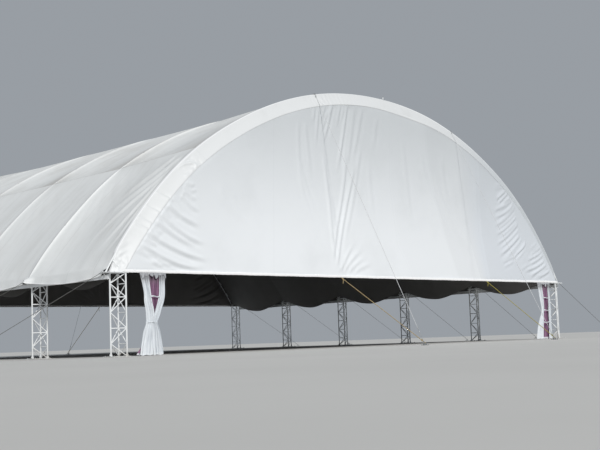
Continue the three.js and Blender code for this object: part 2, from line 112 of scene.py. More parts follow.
class Value:
    """A number socket of one finish. Sums and products of values add Math nodes."""

    def __init__(self, finish, socket):
        self.finish, self.socket = finish, socket

    def __add__(self, other):
        return self.finish.math("ADD", self, other)

    def __sub__(self, other):
        return self.finish.math("SUBTRACT", self, other)

    def __mul__(self, other):
        return self.finish.math("MULTIPLY", self, other)

    def __truediv__(self, other):
        return self.finish.math("DIVIDE", self, other)

    __radd__ = __add__


class Finish:
    """A node material built from values; close() puts them on its Principled shader."""

    def __init__(self, name):
        self.material = bpy.data.materials.new(name)
        self.material.use_nodes = True
        self.tree = self.material.node_tree
        self.shader = self.tree.nodes["Principled BSDF"]

    def node(self, kind, settings=None, inputs=None, output=0):
        """Adds a node: its settings first, a stepped ramp's stops among them, then its inputs."""
        made = self.tree.nodes.new(kind)
        for key, value in (settings or {}).items():
            if key == "stops":
                stops = made.color_ramp.elements
                made.color_ramp.interpolation = "CONSTANT"
                stops[0].position, stops[1].position = value[0][0], value[-1][0]
                for at, _ in value[1:-1]:
                    stops.new(at)
                for stop, (_, tone) in zip(stops, value):
                    stop.color = (tone, tone, tone, 1)
            else:
                setattr(made, key, value)
        for key, value in (inputs or {}).items():
            if isinstance(value, Value):
                self.tree.links.new(value.socket, made.inputs[key])
            else:
                made.inputs[key].default_value = value
        return Value(self, made.outputs[output])

    def math(self, operation, a, b=0.0):
        """One Math node; an operation on one number leaves b alone."""
        return self.node("ShaderNodeMath", {"operation": operation}, {0: a, 1: b})

    def ramp(self, value, low, high):
        """0 at low, 1 at high, with level ends."""
        return self.node("ShaderNodeMapRange", {"interpolation_type": "SMOOTHSTEP"},
                         {"Value": value, "From Min": low, "From Max": high})

    def mix(self, factor, a, b, blend="MIX"):
        """Colour a blended with colour b by the factor."""
        return self.node("ShaderNodeMix", {"data_type": "RGBA", "blend_type": blend},
                         {0: factor, 6: a, 7: b}, 2)

    def place(self):
        """Object coordinates, whole and as x, y, z."""
        whole = self.node("ShaderNodeTexCoord", output="Object")
        return [whole] + [self.node("ShaderNodeSeparateXYZ", inputs={0: whole}, output=i) for i in range(3)]

    def cloth_place(self):
        """The piece's own two UV numbers."""
        whole = self.node("ShaderNodeTexCoord", output="UV")
        return [self.node("ShaderNodeSeparateXYZ", inputs={0: whole}, output=i) for i in range(2)]

    def vector(self, *parts):
        """A vector of up to three values, for a noise that is drawn out one way."""
        return self.node("ShaderNodeCombineXYZ", inputs=dict(enumerate(parts)))

    def noise(self, vector, scale, detail=3.0, rough=0.5):
        """Cloudy noise from 0 to 1, with about scale blots to one unit of the vector."""
        return self.node("ShaderNodeTexNoise", None,
                         {"Vector": vector, "Scale": scale, "Detail": detail, "Roughness": rough})

    def close(self, colour, roughness, height=None, depth=0.002, **even):
        """Puts colour, roughness, a bump from a height and whatever else is named on the shader."""
        links = {"Base Color": colour, "Roughness": roughness}
        if height is not None:
            links["Normal"] = self.node("ShaderNodeBump", None, {"Height": height, "Distance": depth})
        for key, value in {**links, **even}.items():
            if isinstance(value, Value):
                self.tree.links.new(value.socket, self.shader.inputs[key])
            else:
                self.shader.inputs[key].default_value = value
        return self.material


def colour(red, green, blue):
    """A colour in the 0 to 255 numbers of a picture, as linear light."""
    return tuple(((c / 255 + 0.055) / 1.055) ** 2.4 for c in (red, green, blue)) + (1.0,)


def roof_finish():
    """White coated cloth, soiled above the haunch line, with streaks down the slope and faint welds,
    and painted shade in the crease over the haunch line, behind each arch and beside the end bands.
    """
    f = Finish("roof_membrane")
    place, _, _, z = f.place()
    arc, along = f.cloth_place()
    reach = f.math("ABSOLUTE", arc)
    line = round(HAUNCH * RADIUS, 2)
    above = f.ramp(reach, line + 0.03, line)
    back = f.math("FRACT", along / BAY + 0.5)
    # painted shade: the cloth above the haunch line darkens over the half bay behind each arch
    shade_behind_arch = f.ramp(back, 0.55, 0.03)
    patches = f.noise(place, 0.45, 4.0, 0.6)
    streaks = f.noise(f.vector(arc * 0.22, along * 2.4, 0.0), 1.0, 4.0, 0.6)
    soil = f.ramp(patches * 0.6 + streaks * 0.4, 0.42, 0.66)
    # painted shade: darker over the last metre above the haunch crease, more so behind each arch
    crease_shade = above * f.ramp(reach, 9.0, line) * (0.08 + shade_behind_arch * 0.08)
    # one brownish grey for real soiling and for the painted shade behind the arches and at the crease
    soil_and_shade = 0.02 + above * (0.05 + shade_behind_arch * 0.13) + crease_shade + soil * (0.12 + above * 0.08)
    tone = f.mix(soil_and_shade, colour(233, 235, 235), colour(150, 144, 134))
    # painted shade: a narrow dark line along the upper side of the haunch crease
    tone = f.mix(above * f.ramp(reach, line - 0.09, line - 0.01) * 0.25, tone, colour(150, 142, 130))
    stain = f.ramp(f.noise(f.vector(arc * 0.5, along * 1.6, 3.0), 1.0, 2.0), 0.70, 0.80)
    tone = f.mix(stain * 0.22, tone, colour(150, 128, 100))
    tone = f.mix(f.ramp(z, 3.12, 3.0) * 0.7, tone, colour(236, 238, 238))
    # painted shade: a thin dark line just behind each arch
    tone = f.mix(f.ramp(back, 0.024, 0.009) * 0.34, tone, colour(118, 120, 124))
    # painted shadow: a darker strip of roof cloth beside each end band, fading out towards the eave
    rim = f.ramp(f.math("ABSOLUTE", along), 12.02, 12.46) * f.ramp(reach, 17.6, 14.0)
    tone = f.mix(rim * 0.36, tone, colour(132, 130, 126))
    panel = f.math("FRACT", along / PANEL + 0.5)
    weld = f.ramp(f.math("ABSOLUTE", panel - 0.5), 0.016, 0.008)
    tone = f.mix(weld * 0.10, tone, colour(120, 122, 122))
    grain = f.noise(place, 9.0, 6.0, 0.65)
    return f.close(tone, 0.46 + patches * 0.16, grain * 0.9 + weld * 0.25, 0.004)


def gable_finish():
    """Cleaner cloth of the gable: welded panels with a step of tone from one to the next, and painted
    shade that greys it towards the top and towards the sides. The first UV number counts the
    panels, and the second is the distance to the nearest weld in metres."""
    f = Finish("gable_membrane")
    place, x, _, z = f.place()
    panel, away = f.cloth_place()
    step = f.node("ShaderNodeValToRGB", {"stops": [(0.0, 1.0), (0.2501, 0.985), (0.3751, 0.942),
                                                   (0.5001, 0.905), (0.6251, 0.868), (0.7501, 0.868)]},
                  {0: panel / 8.0})
    tone = f.mix(1.0, colour(237, 240, 243), step, "MULTIPLY")
    cool = f.ramp(panel, 3.6, 5.4)
    tone = f.mix(cool * 0.35, tone, f.mix(1.0, tone, colour(232, 239, 250), "MULTIPLY"))
    patches = f.noise(place, 0.5, 4.0, 0.55)
    tone = f.mix(f.ramp(patches, 0.45, 0.75) * 0.12, tone, colour(186, 190, 192))
    # painted shade: greyer towards the top, which gets less light thrown up from the floor
    high = f.ramp(z, 3.6, 10.6)
    tone = f.mix(high * 0.60, tone, colour(174, 179, 182))
    # painted shade: slightly greyer towards the sides, near the band
    tone = f.mix(f.ramp(f.math("ABSOLUTE", x), 7.0, 12.5) * 0.12, tone, colour(186, 191, 194))
    weld = f.ramp(f.math("ABSOLUTE", away), 0.030, 0.018)
    tone = f.mix(weld * 0.04, tone, colour(140, 145, 150))
    grain = f.noise(place, 11.0, 6.0, 0.65)
    return f.close(tone, 0.44 + patches * 0.14, grain * 0.6 + weld * 0.1, 0.003)


def band_finish():
    """The cloth of the bevelled band, with painted shade greying it towards the feet that face away
    from the light, a white rim, and a painted highlight that widens the rim on that side. The
    second UV number runs across it from the rim."""
    f = Finish("band_membrane")
    place, x, y, _ = f.place()
    across = f.cloth_place()[1]
    patches = f.noise(place, 0.9, 4.0, 0.6)
    tone = f.mix(f.ramp(patches, 0.5, 0.8) * 0.2, colour(219, 221, 222), colour(190, 191, 190))
    # painted shade: greyer towards the feet that face away from the light
    tone = f.mix(f.ramp(x * y, -50.0, -120.0) * 0.5, tone, colour(184, 192, 198))
    # painted highlight: a wider white strip along the rim on the side that faces away from the light
    edge = f.ramp(x * y, -10.0, -60.0) * f.ramp(across, 0.060, 0.035)
    tone = f.mix(f.ramp(across, 0.012, 0.002) * 0.8, tone, colour(250, 251, 252))
    tone = f.mix(edge * 0.85, tone, colour(252, 253, 254))
    grain = f.noise(place, 14.0, 6.0, 0.65)
    return f.close(tone, 0.40 + patches * 0.15, grain, 0.002)


def hem_finish():
    """Whiter cloth of the rolled hems, the lacing loops and the piping of the scalloped edge."""
    f = Finish("hem_cloth")
    place = f.place()[0]
    patches = f.noise(place, 1.3, 4.0, 0.6)
    tone = f.mix(patches * 0.25, colour(252, 252, 252), colour(226, 228, 229))
    return f.close(tone, 0.40 + patches * 0.15, f.noise(place, 16.0, 5.0), 0.002)


def lining_finish():
    """The dark inner face of the cloth."""
    f = Finish("dark_lining")
    place = f.place()[0]
    patches = f.noise(place, 0.6, 4.0, 0.6)
    tone = f.mix(patches, colour(102, 100, 98), colour(130, 128, 126))
    return f.close(tone, 0.62 + patches * 0.1, f.noise(place, 12.0, 5.0), 0.002)


def paint_finish():
    """White paint on steel tube, with splashed dirt near the ground and a few rubbed spots."""
    f = Finish("white_paint")
    place, _, _, z = f.place()
    patches = f.noise(place, 3.0, 5.0, 0.6)
    grime = f.ramp(z, 0.55, 0.0) * f.ramp(patches, 0.35, 0.65)
    tone = f.mix(patches * 0.35, colour(236, 238, 239), colour(214, 217, 219))
    tone = f.mix(grime * 0.6, tone, colour(150, 140, 124))
    rust = f.ramp(f.noise(place, 16.0, 4.0, 0.7), 0.70, 0.76)
    tone = f.mix(rust * 0.5, tone, colour(132, 96, 70))
    return f.close(tone, 0.34 + patches * 0.2, f.noise(place, 60.0, 3.0), 0.0006)


def zinc_finish():
    """Galvanised steel: a spangle of grey grains with darker weathering."""
    f = Finish("galvanised_steel")
    place = f.place()[0]
    spangle = f.node("ShaderNodeTexVoronoi", None, {"Vector": place, "Scale": 55.0}, "Color")
    patches = f.noise(place, 7.0, 5.0, 0.6)
    tone = f.mix(spangle, colour(150, 153, 154), colour(182, 184, 185))
    tone = f.mix(f.ramp(patches, 0.5, 0.75) * 0.6, tone, colour(116, 112, 106))
    return f.close(tone, 0.36 + patches * 0.25, patches, 0.001, Metallic=0.8)


def wire_finish(name, dark, light, dulled):
    """Steel wire rope: the strands run round it as slanted ridges on its own UV."""
    f = Finish(name)
    around, along = f.cloth_place()
    strand = f.math("SINE", (around * 6.0 + along * 9.0) * (2 * math.pi))
    dull = f.noise(f.place()[0], 5.0, 4.0)
    tone = f.mix(f.ramp(strand, -1.0, 0.6), dark, light)
    tone = f.mix(dull * 0.3, tone, dulled)
    return f.close(tone, 0.45 + dull * 0.2, strand, 0.0006, Metallic=0.1)


def rope_finish(name, light, dark):
    """Twisted fibre rope: fine fibres along its own strands."""
    f = Finish(name)
    around, along = f.cloth_place()
    fibre = f.noise(f.vector(around * 40.0 + along * 60.0, along * 5.0, 0.0), 1.0, 3.0)
    worn = f.noise(f.place()[0], 2.0, 4.0)
    tone = f.mix(f.ramp(fibre, 0.3, 0.7), dark, light)
    tone = f.mix(worn * 0.35, tone, colour(150, 138, 108))
    return f.close(tone, 0.85, fibre, 0.0012)


def drape_finish(name, light, dark, sheen):
    """Light curtain cloth: a fine weave on its UV, slow changes of tone along the folds, and painted
    shade at the top under the hem.
    """
    f = Finish(name)
    place, _, _, height = f.place()
    across, down = f.cloth_place()
    weave = f.math("SINE", across * 900.0) * 0.5 + f.math("SINE", down * 900.0) * 0.5
    slow = f.noise(f.vector(across * 9.0, down * 1.2, 0.0), 1.0, 4.0)
    tone = f.mix(f.ramp(slow, 0.3, 0.72), light, dark)
    tone = f.mix(f.ramp(f.noise(place, 5.0, 3.0), 0.5, 0.8) * 0.2, tone, dark)
    # painted shade: darker at the top, where the hem above shades the heading
    tone = f.mix(f.ramp(height, 2.34, 2.74) * 0.55, tone, colour(112, 108, 110))
    tone = f.mix(f.ramp(height, 0.11, 0.08) * 0.8, tone, colour(226, 230, 234))
    return f.close(tone, 0.78 + slow * 0.12, weave * 0.3 + slow, 0.002,
                   **{"Sheen Weight": sheen, "Sheen Roughness": 0.4})


def floor_finish():
    """Pale ground with slow changes of tone."""
    f = Finish("pale_floor")
    place = f.place()[0]
    tone = f.mix(f.noise(place, 0.25, 4.0), colour(206, 205, 202), colour(196, 195, 192))
    return f.close(tone, 0.85)


ROOF, GABLE, BAND, HEM = roof_finish(), gable_finish(), band_finish(), hem_finish()
LINING, PAINT, ZINC = lining_finish(), paint_finish(), zinc_finish()
WIRE = wire_finish("wire_rope", colour(186, 188, 190), colour(228, 230, 232), colour(180, 178, 172))
# painted shade: the side stays get a much darker copy of the same wire rope
SHADED_SIDE_WIRE = wire_finish("shaded_side_wire", colour(70, 70, 68), colour(112, 112, 110), colour(84, 80, 74))
TAN_ROPE = rope_finish("tan_rope", colour(214, 192, 142), colour(142, 116, 74))
YELLOW_ROPE = rope_finish("yellow_rope", colour(206, 194, 84), colour(136, 124, 42))
WHITE_DRAPE = drape_finish("white_drape", colour(232, 236, 240), colour(196, 202, 208), 0.1)
PURPLE_DRAPE = drape_finish("purple_drape", colour(152, 112, 142), colour(88, 58, 84), 0.2)


# Meshes

def smooth(t):
    """0 to 1 with level ends: 3t^2 - 2t^3 of t held between 0 and 1."""
    t = np.clip(t, 0.0, 1.0)
    return t * t * (3.0 - 2.0 * t)


def unit(v):
    """Vectors drawn to length 1."""
    return v / np.linalg.norm(v, axis=-1, keepdims=True)


def together(*parts):
    """Numbers, rows and columns broadcast to one grid of points."""
    return np.stack(np.broadcast_arrays(*parts), -1)


def grid_quads(n):
    """The quads between neighbours in a grid of vertex numbers."""
    return np.stack([n[:-1, :-1], n[:-1, 1:], n[1:, 1:], n[1:, :-1]], -1).reshape(-1, 4)


class Piece:
    """Gathers skins made of whole arrays of points into one mesh."""

    def __init__(self, name, *finishes):
        self.name, self.finishes = name, finishes
        self.points, self.quads, self.uvs, self.kinds, self.count = [], [], [], [], 0

    def add(self, points, quads, uvs, finish):
        """One skin: quads are numbers of its points, and each corner of a quad has a UV pair."""
        points = np.asarray(points, float).reshape(-1, 3)
        self.points.append(points)
        self.quads.append(quads + self.count)
        self.uvs.append(uvs.reshape(-1, 2))
        self.kinds.append(np.full(len(quads), finish))
        self.count += len(points)

    def cloth(self, points, out, uv, thick=0.002, lining=1):
        """A closed sheet: the rows x columns grid, the same grid set back by the thickness along its
        normals, and a rim of quads between their edges. out is a direction its face looks in."""
        points = np.asarray(points, float)
        normals = unit(np.cross(np.gradient(points, axis=1), np.gradient(points, axis=0)))
        if (normals * out).sum() < 0:
            points, normals, uv = points[::-1], -normals[::-1], uv[::-1]
        rows, columns = points.shape[:2]
        n = np.arange(rows * columns).reshape(rows, columns)
        face = grid_quads(n)
        edge = np.concatenate([n[0, :-1], n[:-1, -1], n[-1, :0:-1], n[:0:-1, 0]])
        after = np.roll(edge, -1)
        rim = np.stack([after, edge, edge + n.size, after + n.size], -1)
        flat = uv.reshape(-1, 2)
        both = np.concatenate([points.reshape(-1, 3), (points - normals * thick).reshape(-1, 3)])
        quads = np.concatenate([face, rim, face[:, [0, 3, 2, 1]] + n.size])
        self.add(both, quads, np.concatenate([flat, flat])[quads], 0)
        self.kinds[-1][len(face) + len(rim):] = lining

    def rings(self, points, finish=0, closed=False):
        """Skins chains of rings, an array chains x rings x sides x 3 with its sides turning left
        about the way ahead; open chains get flat ends made of strips of quads."""
        chains, count, sides = points.shape[:3]
        step = np.arange(count if closed else count - 1)[:, None]
        turn = np.arange(sides)[None]
        base = (np.arange(chains) * count * sides)[:, None, None]
        here, there = base + step * sides, base + (step + 1) % count * sides
        beside = (turn + 1) % sides
        quads = np.stack([here + turn, here + beside, there + beside, there + turn], -1)
        middle = points.mean(2)
        gap = np.linalg.norm(np.roll(middle, -1, 1) - middle, axis=-1)
        run = np.concatenate([np.zeros((chains, 1)), gap.cumsum(1)], 1)[:, :, None]
        low, high = run[:, :-1][:, step[:, 0]] + turn * 0, run[:, 1:][:, step[:, 0]] + turn * 0
        left, right = turn / sides + low * 0, (turn + 1) / sides + low * 0
        uvs = np.stack([left, low, right, low, right, high, left, high], -1).reshape(-1, 4, 2)
        quads = quads.reshape(-1, 4)
        if not closed:
            i = np.arange(sides // 2 - 1)
            strip = np.stack([i, i + 1, sides - 2 - i, sides - 1 - i], -1)
            first = (base + strip[:, ::-1]).reshape(-1, 4)
            last = (base + (count - 1) * sides + strip).reshape(-1, 4)
            quads = np.concatenate([quads, first, last])
            uvs = np.concatenate([uvs, np.full((len(first) * 2, 4, 2), 0.5)])
        self.add(points, quads, uvs, finish)

    def tube(self, path, radius, sides=10, side=(0, 1, 0), finish=0, closed=False):
        """A round profile carried along a path; side is a direction square to the path's bends."""
        path = np.asarray(path, float)
        ahead = np.roll(path, -1, 0) - np.roll(path, 1, 0) if closed else np.gradient(path, axis=0)
        ahead = unit(ahead)
        first = unit(np.cross(side, ahead))
        second = np.cross(ahead, first)
        turn = 2 * np.pi * np.arange(sides) / sides
        radius = np.broadcast_to(radius, len(path) if np.ndim(radius) < 2 else (len(path), sides))
        reach = radius[:, None, None] if radius.ndim == 1 else radius[:, :, None]
        ring = first[:, None] * np.cos(turn)[:, None] + second[:, None] * np.sin(turn)[:, None]
        self.rings((path[:, None] + reach * ring)[None], finish, closed)

    def bars(self, starts, ends, radius, sides=8, finish=0):
        """Straight round bars, all at once: one ring at each start and each end."""
        starts, ends = np.atleast_2d(starts).astype(float), np.atleast_2d(ends).astype(float)
        ahead = unit(ends - starts)
        steep = np.abs(ahead[:, 2:]) > 0.9
        first = unit(np.cross(np.where(steep, [[1.0, 0, 0]], [UP]), ahead))
        second = np.cross(ahead, first)
        turn = 2 * np.pi * np.arange(sides)[:, None] / sides
        ring = radius * (first[:, None] * np.cos(turn) + second[:, None] * np.sin(turn))
        self.rings(np.stack([starts[:, None] + ring, ends[:, None] + ring], 1), finish)

    def beam(self, start, end, across, width, thick, chamfer=0.004, finish=0):
        """A flat bar or plate: a rectangle with cut corners carried from start to end, drawn in by
        the chamfer at both ends. Width lies along across."""
        start, end, across = (np.array(v, float) for v in (start, end, across))
        ahead = unit(end - start)
        first = unit(across - (across @ ahead) * ahead)
        second = np.cross(ahead, first)
        length = np.linalg.norm(end - start)
        rings = []
        for at, inset in ((0, chamfer), (chamfer, 0), (length - chamfer, 0), (length, chamfer)):
            w, t = width / 2 - inset, thick / 2 - inset
            c = chamfer
            outline = np.array([(w, c - t), (w, t - c), (w - c, t), (c - w, t),
                                (-w, t - c), (-w, c - t), (c - w, -t), (w - c, -t)])
            rings.append(start + ahead * at + outline[:, :1] * first + outline[:, 1:] * second)
        self.rings(np.array(rings)[None], finish)

    def bolts(self, centres, radius, height, finish=0, up=UP):
        """Hexagon heads on washers: rings of six about each centre, the top one drawn in."""
        centres = np.atleast_2d(centres)[:, None, None]
        up = np.array(up, float)
        first = unit(np.cross(up, [0.31, 0.95, 0.05] if abs(up[1]) < 0.9 else [1.0, 0, 0]))
        second = np.cross(up, first)
        for sides, rows in ((12, ((0, 1.7), (0.2, 1.7))), (6, ((0.2, 1.0), (0.85, 1.0), (1.0, 0.8)))):
            turn = 2 * np.pi * np.arange(sides)[:, None] / sides
            ring = first * np.cos(turn) + second * np.sin(turn)
            rows = np.array(rows)[:, :, None, None]
            self.rings(centres + up * rows[:, 0] * height + ring * rows[:, 1] * radius, finish)

    def done(self, slot, *nodes, sharp=40):
        """Makes the mesh and its object, and ties it to the frame."""
        points, quads = np.concatenate(self.points), np.concatenate(self.quads)
        mesh = bpy.data.meshes.new(self.name)
        mesh.vertices.add(len(points))
        mesh.vertices.foreach_set("co", points.astype(np.float32).ravel())
        mesh.loops.add(quads.size)
        mesh.loops.foreach_set("vertex_index", quads.astype(np.int32).ravel())
        mesh.polygons.add(len(quads))
        mesh.polygons.foreach_set("loop_start", np.arange(0, quads.size, 4, dtype=np.int32))
        mesh.polygons.foreach_set("material_index", np.concatenate(self.kinds).astype(np.int32))
        mesh.uv_layers.new(name="UVMap").data.foreach_set(
            "uv", np.concatenate(self.uvs).astype(np.float32).ravel())
        mesh.update(calc_edges=True)
        mesh.polygons.foreach_set("use_smooth", np.ones(len(quads), bool))
        mesh.set_sharp_from_angle(angle=math.radians(sharp))
        made = put(self.name, mesh)
        for finish in self.finishes:
            mesh.materials.append(finish)
        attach(made, "root")
        if nodes:
            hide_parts(*nodes)
        return made


def arch_radius(angle, inner=0.0):
    """Outline radius at an angle from the crown: the circle, a little full at the haunches and a
    little flat at the crown, each a bell curve of the angle. An inner arch lies lower: its drop
    grows as a smooth step over 16 degrees from the eave."""
    full = np.exp(-((np.abs(angle) - math.radians(40)) / math.radians(9)) ** 2)
    flat = np.exp(-(angle / math.radians(11)) ** 2)
    drop = INNER_DROP * inner * smooth((HALF_ANGLE - np.abs(angle)) / math.radians(16))
    return RADIUS + 0.06 * full - 0.05 * flat - drop


def inner_share(y):
    """0 over an end arch, rising evenly to 1 at the next arch inwards."""
    return np.clip((-FRONT_Y - np.abs(y) - SEAT) / (BAY - 2 * SEAT), 0.0, 1.0)


def on_arch(radius, angle, y):
    """Points at a radius and an angle from the crown, at a depth y."""
    return together(radius * np.sin(angle), y, CENTRE_Z + radius * np.cos(angle))


def angle_at(drop, z):
    """The angle at which the outline, lowered by drop, comes down to a height z."""
    angle = HALF_ANGLE
    for _ in range(6):
        angle = math.acos((z - CENTRE_Z) / (float(arch_radius(np.array(angle))) - drop))
    return angle


def drawn_in(angle):
    """Smooth step over the last degrees, where the corner of the roof and band is drawn in."""
    return smooth((np.degrees(np.abs(angle)) - 55.3) / 3.4)


def end_name(rear):
    """The word for an end in the names of its pieces."""
    return "rear" if rear else "front"


def at_end(points, rear):
    """Points given with y from an end arch's plane: the rear end is the front turned half round."""
    points = points + np.array([0.0, FRONT_Y, 0.0])
    return points * np.array([-1.0, -1.0, 1.0]) if rear else points


def fold(u, v, path, width, height, fade=(0.12, 0.4), valley=0.6):
    """Height of one fold at flat places u, v. Its middle line is the cubic through path, taken along
    whichever number changes more; across the line the height is a bell ridge beside a shallower
    valley (below a line that runs along u, beyond one that runs along v), and along it a window
    rises and falls at the two ends."""
    path = np.array(path, float)
    wide = abs(path[-1, 0] - path[0, 0]) > abs(path[-1, 1] - path[0, 1])
    along, across = (u, v) if wide else (v, u)
    s, c = path.T if wide else path.T[::-1]
    line = np.polynomial.Polynomial.fit(s, c, min(3, len(path) - 1))
    t = (along - s[0]) / (s[-1] - s[0])
    held = np.clip(along, min(s), max(s))
    window = smooth(t / fade[0]) * smooth((1 - t) / fade[1])
    d = (across - line(held)) / np.hypot(1, line.deriv()(held)) / width
    return height * window * (np.exp(-d * d) - valley * np.exp(-(d + (1.8 if wide else -1.8)) ** 2))


def crumple(u, v, centre, spread, count, width, height, seed):
    """A zone of short folds in mixed directions, each at a seeded place and slant round a centre."""
    random = np.random.default_rng(seed)
    total = np.zeros_like(u)
    for _ in range(count):
        middle = np.array(centre) + random.uniform(-1, 1, 2) * spread
        slant = random.uniform(0, math.pi)
        half = random.uniform(0.4, 1.0) * min(spread) * np.array([math.cos(slant), math.sin(slant)])
        total += fold(u, v, [middle - half, middle + half], width * random.uniform(0.6, 1.3),
                      height * random.uniform(0.4, 1.0), (0.5, 0.5))
    return total


# Roof cloth

# each fold: its width, then degrees from the crown and distances from the end arch, as they lie on
# the left side; the right side has them the other way round
DRAG_FOLDS = (
    (0.16, ((-38.2, 0.57), (-43.3, 1.47), (-47.2, 2.55), (-49.8, 3.36))),
    (0.17, ((-38.0, 1.05), (-41.8, 2.1), (-45.0, 3.1))),
    (0.12, ((-39.2, 0.31), (-44.1, 0.95), (-48.2, 1.75), (-51.9, 2.39), (-54.6, 2.64))),
    (0.10, ((-40.0, 0.16), (-44.6, 0.45), (-48.9, 0.9), (-53.6, 1.25), (-56.1, 1.66))),
    (0.09, ((-41.0, 0.12), (-46.2, 0.25), (-50.8, 0.42), (-54.3, 0.67), (-56.8, 0.9))),
)
CREASE_ANGLE = angle_at(0.0, 3.05)
HEM_SKEW = (0.95, 1.2, 1.0, 1.1, 0.9)


def roof_sag(angle, share, low=0.56):
    """How far the cloth hangs inside the arch outline: a parabola from arch to arch, times a factor
    that rises as 1 - exp(-distance) on both sides of each purlin, to the full sag above the haunch
    and to its low share below it, and falls the same way to nothing at the eave. Beside each arch a
    shallow trough, a difference of two exponentials, draws the cloth in. Over an arch it is nothing."""
    beside = np.clip(np.minimum(share, 1 - share) * BAY - SEAT, 0, None)
    free = beside / (BAY / 2 - SEAT)
    away = (HAUNCH - np.abs(angle)) * RADIUS
    crown = np.abs(CROWN_PURLIN - np.abs(angle)) * RADIUS
    above = (1 - np.exp(-np.clip(away, 0, None) / 0.5)) * (1 - np.exp(-crown / 0.6))
    eave = np.clip(HALF_ANGLE - np.abs(angle), 0, None) * RADIUS
    below = low * (1 - np.exp(-np.clip(-away, 0, None) / 0.6)) * (1 - np.exp(-eave / 0.8))
    held = (1 - np.exp(-np.abs(away) / 0.3)) * (1 - np.exp(-crown / 0.3)) * smooth(eave / 0.8)
    trough = 0.05 * (1 - np.exp(-beside / 0.10)) * np.exp(-beside / 0.5) * held
    return BAY_SAG * free * (2 - free) * np.where(away > 0, above, below) + trough


def roof_strip(bay, part, side):
    """One strip of a bay's roof cloth. Places are an angle from the crown and a share of the bay; the
    radius is the arch outline less the sag, plus folds. An outer strip ends in a flap that hangs
    straight from the eave line to a scalloped hem."""
    at_end_bay = bay in (0, BAYS - 1)
    share = 0.5 - 0.5 * np.cos(np.linspace(0, np.pi, 97 if at_end_bay else 65))
    if part == "crown":
        stops = (-HAUNCH, -CROWN_PURLIN, CROWN_PURLIN, HAUNCH)
        angle = np.concatenate([np.linspace(a, b, n, endpoint=False) for a, b, n in
                                zip(stops, stops[1:], (72, 96, 72))] + [[HAUNCH]])
    else:
        angle = side * np.linspace(HAUNCH, CREASE_ANGLE, 105 if at_end_bay else 77)
    a, t = np.meshgrid(angle, share, indexing="ij")
    y = FRONT_Y + (bay + t) * BAY
    u = a * RADIUS
    lift = 0.004 * np.sin(u * 2.1 + bay) * np.sin(t * 7.0 + u * 0.6)
    if part != "crown":
        seeds = np.random.default_rng(40 + bay)
        for near in (0, 1):
            at_gable = (bay, near) in ((0, 0), (BAYS - 1, 1))
            strength = 1.0 if at_gable else 0.10 * seeds.uniform(0.5, 1.3)
            away = (t if near == 0 else 1 - t) * BAY
            for width, line in DRAG_FOLDS:
                path = [(math.radians(abs(degrees)) * RADIUS, far) for degrees, far in line]
                height = 0.032 + 0.07 * width
                lift += strength * fold(np.abs(u), away, path, width, height, (0.1, 0.45), 0.5)
        lift += 0.006 * np.sin(t * 34 + np.abs(u) * 0.9) * smooth((np.abs(u) - 15.6) / 1.2)
    hold = smooth(np.minimum(t, 1 - t) / 0.02) * smooth((CREASE_ANGLE - np.abs(a)) / 0.01)
    lift = lift * hold
    if part != "crown" and at_end_bay:
        edge = (t if bay == 0 else 1 - t) * BAY
        degrees = np.degrees(np.abs(a))
        tuck = smooth((degrees - 38) / 5) * smooth((57 - degrees) / 4)
        tuck = tuck * (1 - np.exp(-np.clip(edge - 0.05, 0, None) / 0.3)) * np.exp(-edge / 0.9)
        lift = lift - 0.13 * tuck
        loose = smooth((degrees - 47) / 11) * np.exp(-edge / 0.35)
        y = y + (0.06 if bay == 0 else -0.06) * loose
        lift = lift + 0.05 * loose * smooth((degrees - 55) / 4)
    skew = 1.8 if at_end_bay else 1.3
    skewed = t ** skew if bay < BAYS / 2 else 1 - (1 - t) ** skew
    sag = roof_sag(a, skewed, 0.95 if at_end_bay else 0.6)
    points = on_arch(arch_radius(a, inner_share(y)) - sag + lift, a, y)
    if part != "crown" and at_end_bay:
        points[..., 0] -= side * 0.17 * drawn_in(a) * np.exp(-edge / 0.6)
    uv = together(u, y)
    if part != "crown":
        w = np.linspace(0, 1, 9)[1:, None]
        top = points[-1]
        hem_skew = HEM_SKEW[bay] if side < 0 else HEM_SKEW[-1 - bay]
        near = np.minimum(share, 1 - share)
        notch = 0.03 * np.exp(-(near / 0.012) ** 2)
        deep = top[:, 2] - (2.81 - 0.17 * np.sin(np.pi * share ** hem_skew)) - notch
        flare = 0.30 + 0.04 * np.sin(share * 31 + bay) * w
        tied = 0.20 * np.exp(-(near / 0.045) ** 2) * smooth(deep * w / 0.16)
        flap = together(top[:, 0] + side * (flare * deep * w + tied), top[:, 1], top[:, 2] - deep * w)
        points = np.concatenate([points, flap])
        uv = np.concatenate([uv, together(u[-1] + side * deep * w, y[-1])])
    out = on_arch(1.0, angle.mean(), 0.0) - UP * CENTRE_Z
    piece = Piece(f"roof_cloth_{bay + 1}_{part}", ROOF, LINING)
    piece.cloth(points, out, uv)
    made = piece.done("membrane", f"roof_bay_{bay + 1}", sharp=60)
    return points[-1]


def eave_trim(side, name, hems):
    """Piping along the scalloped hems and two webbing ties at every arch, down to the column."""
    piece = Piece(f"eave_trim_{name}", HEM, ZINC)
    for hem in hems:
        piece.tube(hem[::2] + np.array([side * 0.006, 0, -0.004]), 0.016, 8, (side, 0, 0))
    for k in range(ARCHES):
        y = FRONT_Y + k * BAY
        for step in (-1, 1):
            if 0 <= k + (step - 1) // 2 < BAYS:
                start = np.array([side * 14.205, y + step * 0.16, 2.88])
                end = np.array([side * 14.075, y + step * 0.04, 2.62])
                piece.beam(start, end, (0, 1, 0), 0.045, 0.004, 0.001)
                piece.bolts([start + np.array([side * 0.004, 0, -0.02])], 0.014, 0.010, 1, (side, 0, 0))
    piece.done("membrane")


hems = {-1: [], 1: []}
for bay in range(BAYS):
    roof_strip(bay, "crown", 0)
    for side, part in SIDES:
        hems[side].append(roof_strip(bay, part, side))
for side, name in SIDES:
    eave_trim(side, name, hems[side])


# Dark ceiling drape under the arches

